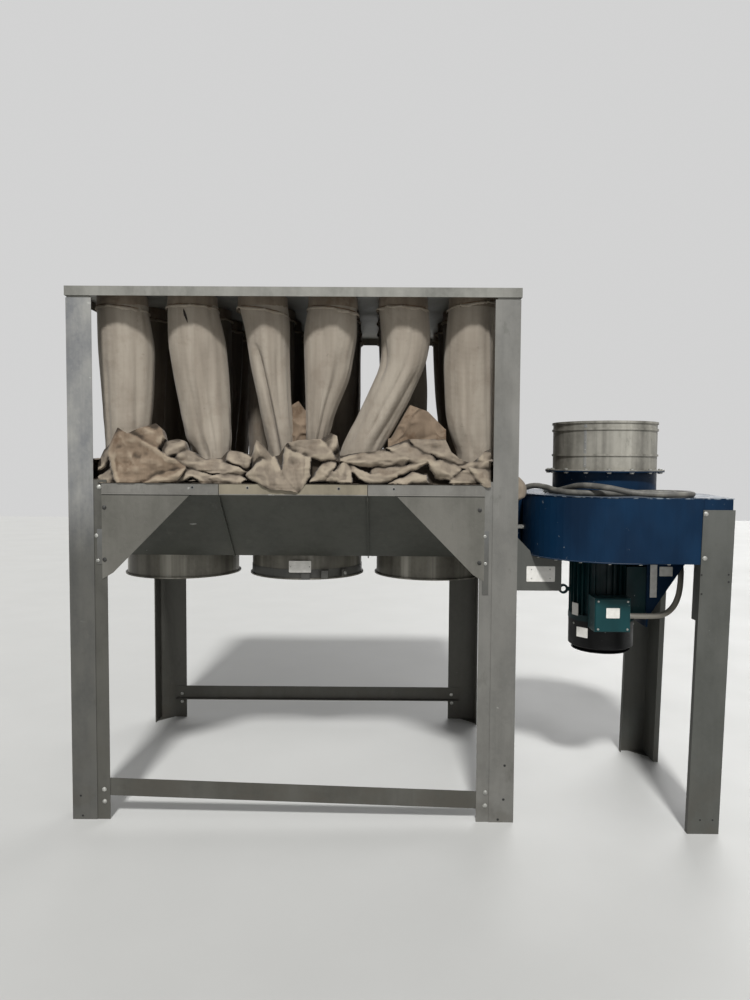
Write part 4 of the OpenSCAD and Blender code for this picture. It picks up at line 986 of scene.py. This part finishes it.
def front_relief(px, py):
    """Depth in metres of the front's folds at a pixel, and the number of the fold that shows there."""
    best, shown = RELIEF_BEYOND, -1
    wander = noise.noise_vector(Vector((px * 0.11, py * 0.13, 2))) * 1.7 + noise.noise_vector(
        Vector((px * 0.3, py * 0.3, 6))) * 0.4
    px, py = px + wander.x, py + wander.y
    for k, (lift, lean_x, lean_y, outline) in enumerate(FRONT_RELIEF):
        if min(p[0] for p in outline) <= px <= max(p[0] for p in outline):
            inside = edge_distance(outline, px, py)
            if inside > -0.4:
                mid_x, mid_y, way, half = FOLD_FRAMES[k]
                t = ((px - mid_x) * way[0] + (py - mid_y) * way[1]) / half
                bow = min(half * PIXEL_MM * 0.60, 26)
                round_off = 9 * (1 - math.exp(-max(inside + 0.4, 0) / 0.9))
                pleat = math.sin(5.5 * t + 3 * noise.noise(Vector((px * 0.05, py * 0.05, k))))
                depth = 1.25 * lift - 9 + round_off + bow * (0.35 * t - 1.2 * t * t + 0.11 * pleat)
                if depth > best:
                    best, shown = depth, k
    return best / 1000, shown


# Creases inside the folds: (depth in mm, half breadth in pixels, ends); below 0 they stand up as ridges
FRONT_CREASES = [
    (14, 3.0, (133, 455), (141, 458)), (7, 2.2, (136, 440), (150, 461)), (-6, 2.0, (117, 428), (137, 470)),
    (-7, 2.0, (140, 438), (176, 463)), (6, 1.6, (112, 450), (120, 482)), (-6, 1.5, (143, 427), (160, 436)),
    (-6, 1.6, (262, 462), (270, 492)), (7, 1.6, (268, 470), (276, 488)), (-7, 1.5, (276, 462), (297, 492)),
    (6, 1.6, (290, 452), (298, 486)), (-6, 1.5, (300, 456), (303, 480)), (-7, 1.8, (342, 463), (401, 459)),
    (7, 1.5, (352, 458), (396, 463)), (-6, 1.4, (318, 468), (334, 480)), (6, 1.3, (326, 466), (350, 478)),
    (-6, 1.5, (352, 466), (371, 481)), (-6, 1.4, (408, 464), (430, 480)), (6, 1.4, (420, 468), (434, 470)),
    (-6, 1.5, (433, 452), (466, 466)), (6, 1.6, (412, 444), (440, 448)), (-7, 1.5, (458, 470), (480, 474)),
    (6, 1.3, (446, 470), (460, 482)), (-6, 1.4, (480, 470), (491, 484)), (-6, 1.4, (190, 462), (217, 465)),
    (6, 1.3, (200, 472), (240, 470)), (-6, 1.4, (222, 479), (244, 478)), (-6, 1.4, (186, 474), (206, 482)),
    (6, 1.3, (236, 452), (246, 470)), (-6, 1.4, (255, 446), (262, 458)), (6, 1.4, (292, 444), (318, 452)),
]


def front_crease(px, py):
    """Depth in metres that the creases add at a pixel."""
    total = 0.0
    for depth, half, (ax, ay), (bx, by) in FRONT_CREASES:
        t = ((px - ax) * (bx - ax) + (py - ay) * (by - ay)) / ((bx - ax) ** 2 + (by - ay) ** 2)
        off = math.hypot(px - ax - (bx - ax) * t, py - ay - (by - ay) * t)
        half *= 1.25
        if off < half * 3:
            fade = min(max((t + 0.1) / 0.25, 0), 1) * min(max((1.1 - t) / 0.25, 0), 1)
            total -= 0.6 * depth / 1000 * fade * math.exp(-(off / half) ** 1.6)
    return total


def deck_row(px):
    """The pixel row of the deck's top edge, behind the lip."""
    return 484.4 + 0.006 * (px - 290)


FRONT_COLUMNS, FRONT_ROWS, CREST_ROWS = 640, 80, 8
reliefs, shown_folds, front_rows = [], [], []
for i in range(FRONT_COLUMNS + 1):
    px = HEAP_LOW_LINE[0][0] + (HEAP_LOW_LINE[-1][0] - HEAP_LOW_LINE[0][0]) * i / FRONT_COLUMNS
    low_y = line_at(HEAP_LOW_LINE, px) + 0.5 * noise.noise(Vector((px * 0.13, 0, 0)))
    low_y = max(low_y, deck_row(px) - 0.2)
    top_y = line_at(HEAP_TOP_LINE, px) + 0.6 * noise.noise(Vector((px * 0.17, 5, 0)))
    reliefs.append([])
    shown_folds.append([])
    front_rows.append([])
    for j in range(FRONT_ROWS + 1):
        py = low_y + (top_y - low_y) * j / FRONT_ROWS
        depth, shown = front_relief(px, py)
        wave = Vector((px * 0.045, py * 0.09, 0))
        depth += 0.0050 * noise.noise(wave * 1.6) + 0.0022 * noise.noise(wave * 4.0 + Vector((3, 1, 4)))
        depth += front_crease(px, py)
        reliefs[i].append(depth)
        shown_folds[i].append(shown)
        front_rows[i].append((px, py))


# The folds run into each other softly, as the cloth is one sheet
for i in range(1, FRONT_COLUMNS):
    for j in range(1, FRONT_ROWS):
        reliefs[i][j] = reliefs[i][j] * 0.4 + 0.15 * (
            reliefs[i - 1][j] + reliefs[i + 1][j] + reliefs[i][j - 1] + reliefs[i][j + 1])


def sunk(i, j):
    """How far a place of the relief lies below what is round it, from 0 to 1, or above it, down to -1."""
    steps = range(-9, 10, 3)
    around = [reliefs[i + di][j + dj] for di in steps for dj in steps
        if 0 <= i + di <= FRONT_COLUMNS and 0 <= j + dj <= FRONT_ROWS]
    below = sum(around) / len(around) - reliefs[i][j]
    return min(1, max(0, (below - 0.0014) / 0.0060)) - 0.32 * min(1, max(0, (-below - 0.0010) / 0.0060))


# Where the front stands without its folds, how far it leans back, and what keeps it clear of the deck's lip
HEAP_FRONT_Y, HEAP_LEAN = -0.606, 0.034
FOREMOST_Y, BEHIND_LIP_Y, OVER_LIP_Y = -0.652, -0.628, -0.639
front_shape = Shape()
front_painted_shading = []
for i in range(FRONT_COLUMNS + 1):
    for j, (px, py) in enumerate(front_rows[i]):
        y = max(HEAP_FRONT_Y + HEAP_LEAN * (j / FRONT_ROWS) ** 1.3 - reliefs[i][j], FOREMOST_Y)
        if j == 0 and py < deck_row(px) + 0.4:
            y = max(y, BEHIND_LIP_Y)
        elif py > deck_row(px) - 1.0:
            y = min(y, OVER_LIP_Y)
        front_shape.points.append(seen(px, py, y))
        # Painted shade where the relief lies below what is round it, a painted highlight where it stands above
        front_painted_shading.append(0.9 * sunk(i, j))
    crest = front_shape.points[-1]
    for k in range(1, CREST_ROWS + 1):
        t = k / CREST_ROWS
        bump = 0.006 * crumple(Vector((px * 0.055, 40 + k * 0.3, 0)))
        front_shape.points.append(crest + Vector((0, 0.012 * k, -0.05 * t * t + bump * t)))
        front_painted_shading.append(front_painted_shading[-1] * 0.6)
rows = FRONT_ROWS + CREST_ROWS + 1
front_shape.grid(FRONT_COLUMNS + 1, rows)
made = piece("slack_front", front_shape, HEAP_CLOTH, 180)
made.data.materials.append(STAINED_CLOTH)
made.data.attributes.new("crease", "FLOAT", "POINT").data.foreach_set("value", front_painted_shading)
for face in made.data.polygons:
    column, row = divmod(face.vertices[0], rows)
    if shown_folds[column][min(row, FRONT_ROWS)] in STAINED_FOLDS:
        face.material_index = 1
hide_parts("bag_lump", "bag_over_edge")

# Brown folds that stand behind the front bags
behind = Shape()
for y, outline in (
        (-0.50, [(388, 447), (391, 438), (404.5, 414), (410, 405), (428, 411.5), (445, 429), (446, 446)]),
        (-0.47, [(287, 408), (298.5, 401), (305, 410), (306, 446), (287, 446)])):
    left, right = min(p[0] for p in outline), max(p[0] for p in outline)
    columns, levels = 60, 40
    ceiling = sorted((p for p in outline if p[1] < 440), key=lambda p: p[0])
    start = len(behind.points)
    for i in range(columns + 1):
        px = left + (right - left) * i / columns
        top_y = line_at([(left, ceiling[0][1])] + ceiling + [(right, ceiling[-1][1])], px)
        for j in range(levels + 1):
            py = 452 + (top_y - 452) * j / levels
            wave = Vector((px * 0.05, py * 0.06, y * 9))
            round_top = 0.02 * (j / levels) ** 6
            depth = y + round_top + 0.03 * (j / levels) - 0.012 * crumple(wave, 3.0)
            behind.points.append(seen(px, py, depth))
    behind.grid(columns + 1, levels + 1, start)
made = piece("slack_behind", behind, STAINED_CLOTH, 180)

# Folded edges of the heap at the rear and the sides, which the photograph does not show
skirt = Shape()
for outward, reach, way, half in (
        (REAR, HEAP_HALF_Y, LEFT, HEAP_HALF_X), (LEFT, HEAP_HALF_X, FRONT, HEAP_HALF_Y),
        (RIGHT, HEAP_HALF_X, REAR, HEAP_HALF_Y)):
    columns, levels = int(half * 240), 22
    start = len(skirt.points)
    for i in range(columns + 1):
        across = half * (2 * i / columns - 1)
        tall = 0.085 + 0.035 * noise.noise(Vector((across * 5, reach * 3, 7)))
        for j in range(levels + 1):
            t = j / levels
            rise = tall * min(1, t * 1.6)
            back = 0.030 * min(1, t * 1.6) ** 1.5 + 0.14 * max(0, t - 0.6)
            wave = Vector((across * 11, rise * 16 + back * 14, reach * 5))
            out_by = reach - 0.014 - back + 0.011 * crumple(wave, 1.0) + 0.004 * crumple(wave * 2.6, 4.0)
            skirt.points.append(at(0, 0, DECK_Z + 0.002 + rise + 0.004 * crumple(wave, 9.0) * t)
                + outward * min(out_by, reach - 0.001) + way * across)
    for i in range(columns):
        for j in range(levels):
            a = start + i * (levels + 1) + j
            skirt.faces.append((a, a + 1, a + levels + 2, a + levels + 1))
made = piece("slack_edges", skirt, HEAP_CLOTH, 180)

# The lobe that slipped off the right side towards the housing
beside = Shape()
low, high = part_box("bag_beside")
lobe_x, lobe_y = (low.x + high.x) / 2, (low.y + high.y) / 2
half_x, half_y = (high.x - low.x) / 2, (high.y - low.y) / 2
loops = []
for k in range(25):
    t = k / 24
    z = high.z - (high.z - low.z) * t
    foot = max(0, t - 0.8) / 0.2
    wide = half_x * (0.20 + 0.80 * math.sin(math.pi * min(1, 0.08 + 0.62 * t)) ** 0.8) * (1 - 0.45 * foot)
    deep = half_y * (0.45 + 0.55 * math.sin(math.pi * (0.15 + 0.6 * t))) * (1 - 0.35 * foot)
    shift = -half_x + wide + 0.004 * math.sin(5 * t)
    ring = []
    for j in range(72):
        a = 2 * math.pi * j / 72
        c, s = math.cos(a), math.sin(a)
        fold = 0.16 * abs(math.sin(2.5 * a + 1.6 * t)) + 0.07 * noise.noise(Vector((c * 3, s * 3, t * 4)))
        r = 1 - 0.20 + fold
        round_x = math.copysign(abs(c) ** 0.8, c)
        ring.append(Vector((lobe_x + shift + round_x * r * wide, lobe_y + s * r * deep, z + 0.010 * c * t)))
    loops.append(ring)
beside.loft(loops[::-1], capped=True)
made = piece("slack_beside", beside, HEAP_CLOTH, 60)
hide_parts("bag_beside")

# Fasteners, holes and plates of the frame
POST_FACE_Y = -FRAME_HALF_Y
LEG_FACE_Y = POST_FACE_Y + 0.003
bolts, dark_bolts, holes, hole_rims, plates, labels = Shape(), Shape(), Shape(), Shape(), Shape(), Shape()


def hole(place, normal, radius=0.0045):
    """A dark hole with a thin raised rim."""
    rim = [(radius * 1.35, 0), (radius * 1.35, 0.0003), (radius * 1.1, 0.0006)]
    turned(hole_rims, place, normal, rim, 16)
    turned(holes, place, normal, [(radius, 0), (radius, 0.0007), (radius * 0.7, 0.0007)], 16)


def both_ends(points, plane_y):
    """Front places by the photograph, and the same ones on the rear face."""
    front = [seen(px, py, plane_y) for px, py in points]
    return [(p, FRONT) for p in front] + [(Vector((p.x, 2 * MIDDLE.y - p.y, p.z)), REAR) for p in front]


LEG_BOLTS = [(99, 487), (96.9, 535.6), (98.4, 560.5), (484.9, 536.6), (485.2, 563.7), (104.5, 789.2),
    (104.9, 801.2), (485.1, 792.4), (484.8, 805.5)]
GUSSET_BOLTS = [(104.2, 507.4), (104.7, 559.5), (479.9, 510.1), (479.4, 562.9)]
POST_AND_DECK_HOLES = [(80.9, 795.6), (83, 815.4), (504.6, 765.6), (503.3, 799.5), (497.7, 819.5),
    (192.2, 487.3), (247.4, 487.9), (338.7, 488.8), (393.8, 489.1)]
for place, normal in both_ends(LEG_BOLTS, LEG_FACE_Y):
    bolt(bolts, place, normal, 0.013)
for place, normal in both_ends(GUSSET_BOLTS, POST_FACE_Y - 0.0003):
    bolt(dark_bolts, place, normal, 0.012)
for place, normal in both_ends(POST_AND_DECK_HOLES, POST_FACE_Y):
    hole(place, normal)
for px, py in ((182.3, 693.5), (182.3, 701.3), (451.2, 694.7), (451.6, 703)):
    bolt(bolts, seen(px, py, FRAME_HALF_Y - 0.013), FRONT, 0.013)

# Splice plates of the nested legs, where the posts have slid down over them
for centre_x, width, low_z, high_z in ((-0.779, 0.052, 1.073, 1.218), (0.790, 0.026, 0.956, 1.220)):
    for normal, y in ((FRONT, LEG_FACE_Y), (REAR, -LEG_FACE_Y)):
        plate(plates, at(centre_x, y, (low_z + high_z) / 2), normal, width, high_z - low_z, 0.0025)

# Bolts down the side of each post
for x in (-FRAME_HALF_X, FRAME_HALF_X):
    for y in (-FRAME_HALF_Y + 0.05, FRAME_HALF_Y - 0.05):
        for z in (0.10, 0.55, 1.00, 1.34, 2.12):
            bolt(bolts, at(x, y, z), LEFT if x < 0 else RIGHT, 0.013)

# Joints between the deck's three flanges, painted shadow lines below the outer two, and lips along the edges
joints = Shape()
for normal, y in ((FRONT, POST_FACE_Y), (REAR, FRAME_HALF_Y)):
    for x in (-0.3048, 0.3048):
        plate(joints, at(x, y, DECK_Z - 0.0235), normal, 0.0026, 0.044, 0.0006, 0.0004, 0.0002)
for normal, y in ((FRONT, POST_FACE_Y - 0.0002), (REAR, FRAME_HALF_Y + 0.0002)):
    for side in (-1, 1):
        plate(joints, at(side * 0.6, y, DECK_Z - 0.0478), normal, 0.366, 0.0022, 0.0005, 0.0004, 0.0002)
piece("deck_joints", joints, HOLE_DARK)
lips = Shape()
for normal, y in ((FRONT, POST_FACE_Y), (REAR, FRAME_HALF_Y)):
    for x, wide in ((-0.545, 0.478), (0, 0.606), (0.545, 0.478)):
        plate(lips, at(x, y, DECK_Z - 0.0440), normal, wide, 0.0042, 0.0035, 0.001)
piece("deck_lips", lips, DECK_SHEET)

# Blank plate, tab and latch of the strap on the middle outlet
strap_low, strap_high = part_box("outlet_strap")
strap_y = strap_low.y - MIDDLE.y
plate_at = seen(300, 566.7, strap_y)
plate(labels, plate_at, FRONT, 0.102, 0.054, 0.0012, 0.004)
for off in (-0.044, 0.044):
    screw(bolts, plate_at + RIGHT * off + FRONT * 0.0012, FRONT, 0.003)
plate(plates, seen(305.5, 576.5, strap_y), FRONT, 0.040, 0.030, 0.003)
latch_x = 0.19
strap_r = abs(strap_y)
latch_way = Vector((latch_x, -math.sqrt(strap_r ** 2 - latch_x ** 2), 0)).normalized()
latch_place = at(0, 0, (strap_low.z + strap_high.z) / 2) + latch_way * strap_r
plate(plates, latch_place, latch_way, 0.030, 0.036, 0.010, 0.004, 0.002)
bolt(bolts, latch_place + latch_way * 0.010, latch_way, 0.012)

# Inlet: bolts round the flange and the collar's lapped seam
collar_low, collar_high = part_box("inlet_collar")
flange_r = (collar_high.x - collar_low.x) / 2
bolt_r = flange_r - 0.014
for k in range(16):
    a = math.radians(11 + 22.5 * k)
    spot = at(FAN.x + bolt_r * math.cos(a), FAN.y + bolt_r * math.sin(a), 0)
    bolt(bolts, spot + UP * (collar_low.z + 0.005), UP, 0.012)
    bolt(bolts, spot + UP * (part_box("fan_neck")[1].z - 0.0052), DOWN, 0.016)
collar_r = 0.226
seam_way = Vector((-0.60, -0.80, 0)).normalized()
seam_mid = at(FAN.x, FAN.y, (collar_low.z + collar_high.z) / 2)
seam_high = collar_high.z - collar_low.z - 0.03
plate(plates, seam_mid + seam_way * (collar_r - 0.0004), seam_way, 0.012, seam_high, 0.0016)
for k in range(6):
    spot = seam_mid + seam_way * (collar_r + 0.001) + UP * (0.032 * (k - 2.5))
    screw(bolts, spot, seam_way, 0.0025)

# Housing: bolts under the rim, the scroll's rolled rims and its flat cheek
def scroll_radius(degrees):
    """The scroll's radius at an angle, as in the CAD."""
    return 0.362 + 0.158 * (degrees - 180) / 270


def scroll_point(degrees, off, z):
    """A point that stands off the scroll's wall."""
    r = scroll_radius(degrees) + off
    return at(FAN.x + r * math.cos(math.radians(degrees)), FAN.y + r * math.sin(math.radians(degrees)), z)


for degrees in range(190, 330, 17):
    bolt(bolts, scroll_point(degrees, -0.010, HOUSING_LOW), DOWN, 0.013)
rims = Shape()
for z in (HOUSING_LOW + 0.001, HOUSING_TOP - 0.001):
    sweep(rims, [scroll_point(a, 0.0005, z) for a in range(165, 331, 3)], 0.0022, 8)
piece("scroll_rims", rims, NAVY)
# The wall runs on flat from its front to the box behind the front leg, as the photograph's straight lower
# edge shows
cheek = Shape()
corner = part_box("fan_corner")[0] + Vector((0.004, 0.001, 0))
wall_low, wall_high = HOUSING_LOW + 0.003, HOUSING_TOP - 0.003
outline = [scroll_point(a, 0, wall_low) + FRONT * 0.0004 for a in range(266, 312, 3)]
outline.append(Vector((corner.x, corner.y, wall_low)))
part = bmesh.new()
part.faces.new([part.verts.new(place) for place in outline])
thickened(part, (0, 0, wall_high - wall_low))
cheek.take(part)
piece("scroll_cheek", cheek, NAVY, 30)

# Blank label of the fan bracket, with its screws
bracket_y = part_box("fan_bracket")[0].y - MIDDLE.y
plate(labels, seen(540.7, 574, bracket_y), FRONT, 0.125, 0.068, 0.0012, 0.004)
for px, py in ((531.5, 569.5), (550, 569.5), (531.5, 578.5), (550, 578.5)):
    screw(bolts, seen(px, py, bracket_y - 0.0012), FRONT, 0.003)

# Motor: blank rating plates, screws of the terminal box, plates on the bracket, the cover's grille
box_low, box_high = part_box("terminal_box")
box_y = box_low.y - MIDDLE.y
box_mid = at((box_low.x + box_high.x) / 2 - MIDDLE.x, box_y, (box_low.z + box_high.z) / 2)
lid = Shape()
plate(lid, box_mid, FRONT, 0.150, 0.143, 0.006, 0.010, 0.0025)
piece("terminal_lid", lid, TERMINAL_TEAL)
for off_x in (-0.063, 0.063):
    for off_z in (-0.060, 0.060):
        screw(bolts, box_mid + RIGHT * off_x + UP * off_z + FRONT * 0.006, FRONT, 0.0050)
plate(labels, box_mid + FRONT * 0.006 + UP * 0.010, FRONT, 0.058, 0.044, 0.0008, 0.003)

motor_low, motor_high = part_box("motor_frame")
motor_x, motor_y = (motor_low.x + motor_high.x) / 2 - MIDDLE.x, (motor_low.y + motor_high.y) / 2 - MIDDLE.y


def on_motor(degrees, z, r):
    """A place and direction on the motor's round side."""
    way = Vector((math.cos(math.radians(degrees)), math.sin(math.radians(degrees)), 0))
    return at(motor_x, motor_y, z) + way * r, way


for degrees, z, wide, high in ((204, 0.844, 0.040, 0.055), (221, 0.745, 0.056, 0.044)):
    spot, way = on_motor(degrees, z, 0.1435)
    plate(labels, spot, way, wide, high, 0.0035, 0.002)
for degrees in range(20, 380, 45):
    spot, way = on_motor(degrees, 0.778, 0.1425)
    screw(bolts, spot, way, 0.005)
    spot, way = on_motor(degrees, 1.080, 0.143)
    bolt(bolts, spot, way, 0.012)

grille = Shape()
cover_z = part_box("motor_cover")[0].z
cover_mid = at(motor_x, motor_y, cover_z)
for r in (0.030, 0.046, 0.062, 0.078, 0.094, 0.110, 0.126):
    ring = [(r - 0.0035, 0), (r - 0.0025, 0.003), (r + 0.0025, 0.003), (r + 0.0035, 0)]
    turned(grille, cover_mid, DOWN, ring, 48)
turned(grille, cover_mid, DOWN, [(0.020, 0), (0.019, 0.004), (0.004, 0.005)], 32)
piece("cover_grille", grille, COVER_BLACK)

bracket_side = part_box("motor_bracket")[0].y - MIDDLE.y
plate(labels, seen(653.5, 580, bracket_side), FRONT, 0.030, 0.155, 0.0012, 0.002)
plate(labels, seen(666, 571.5, bracket_side), FRONT, 0.058, 0.042, 0.0012, 0.003)
for z in (0.85, 0.95, 1.05):
    for off in (-0.07, 0.07):
        bolt(bolts, at(1.540, motor_y + off, z), RIGHT, 0.018)

# Gland nut of the conduit's low end
gland_low, gland_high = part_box("conduit_gland")
gland = (gland_low + gland_high) / 2
gland.x = gland_low.x + 0.0005
nut = [(0.0225, 0), (0.0225, 0.0035), (0.0205, 0.0045), (0.0182, 0.0045)]
gland_nut = Shape()
turned(gland_nut, gland, RIGHT, nut, 6)
piece("gland_nut", gland_nut, ZINC)

# Fan legs: bolts, holes and the side plate's bolts
fan_leg_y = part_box("fan_leg_front")[0].y - MIDDLE.y
for px, py in ((706, 514), (704.8, 558.4)):
    bolt(bolts, seen(px, py, fan_leg_y), FRONT, 0.013)
for px, py in ((728.6, 574.7), (728.6, 582), (701.5, 575), (701.5, 594), (700, 820), (712.5, 820)):
    hole(seen(px, py, fan_leg_y), FRONT, 0.004)
side_plate_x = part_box("fan_side_plate")[1].x - MIDDLE.x
for y in (-0.66, -0.43):
    for z in (0.845, 1.055):
        bolt(bolts, at(side_plate_x - 0.003, y, z), RIGHT, 0.014)

# Bolts down the edges of the side panel
for z in (0.99, 1.09, 1.19, 1.29, 1.38):
    for y in (-0.505, 0.505):
        bolt(bolts, at(FRAME_HALF_X, y, z), RIGHT, 0.011)

for name, shape, material in (
        ("bolts", bolts, ZINC), ("dark_bolts", dark_bolts, DARK_STEEL), ("holes", holes, HOLE_DARK),
        ("hole_rims", hole_rims, GALVANISED), ("small_plates", plates, GALVANISED),
        ("blank_labels", labels, LABEL)):
    piece(name, shape, material)

# Floor and light
floor_mesh = bpy.data.meshes.new("floor")
floor_mesh.from_pydata([(-14, -9, 0), (14, -9, 0), (14, 16, 0), (-14, 16, 0)], [], [(0, 1, 2, 3)])
floor = bpy.data.objects.new("floor", floor_mesh)
bpy.context.scene.collection.objects.link(floor)
floor_mesh.materials.append(plain_paint("pale_floor", "bfbfbc", "c1c1be", 0.5, 0.6, 500))

# The world lights plainly, and the camera, metal and glass see a pale backdrop
world = bpy.data.worlds.new("studio")
world.use_nodes = True
tree = world.node_tree
tree.nodes.clear()
path = add(tree, "ShaderNodeLightPath")
inputs = {0: path.outputs["Is Camera Ray"], 1: path.outputs["Is Glossy Ray"]}
backdrop_rays = add(tree, "ShaderNodeMath", inputs, operation="ADD").outputs[0]
inputs = {0: backdrop_rays, 1: path.outputs["Is Transmission Ray"]}
backdrop_rays = add(tree, "ShaderNodeMath", inputs, operation="ADD", use_clamp=True).outputs[0]
lighting = add(tree, "ShaderNodeBackground", {"Color": (0.90, 0.90, 0.92, 1), "Strength": 0.26})
backdrop = add(tree, "ShaderNodeBackground", {"Color": (0.90, 0.90, 0.90, 1), "Strength": 0.72})
both = add(tree, "ShaderNodeMixShader", {0: backdrop_rays, 1: lighting.outputs[0], 2: backdrop.outputs[0]})
add(tree, "ShaderNodeOutputWorld", {"Surface": both.outputs[0]})
bpy.context.scene.world = world


def sun(name, strength, spread, direction):
    """A soft lamp that shines along a direction."""
    lamp = bpy.data.lights.new(name, "SUN")
    lamp.energy = strength
    lamp.angle = math.radians(spread)
    made = bpy.data.objects.new(name, lamp)
    made.rotation_euler = Vector(direction).to_track_quat("-Z", "Y").to_euler()
    bpy.context.scene.collection.objects.link(made)


sun("key", 3.3, 6, (0.02, 0.68, -0.74))
sun("fill", 0.35, 60, (-0.5, 0.5, -0.4))
sun("rear", 1.0, 40, (-0.35, -0.70, -0.45))
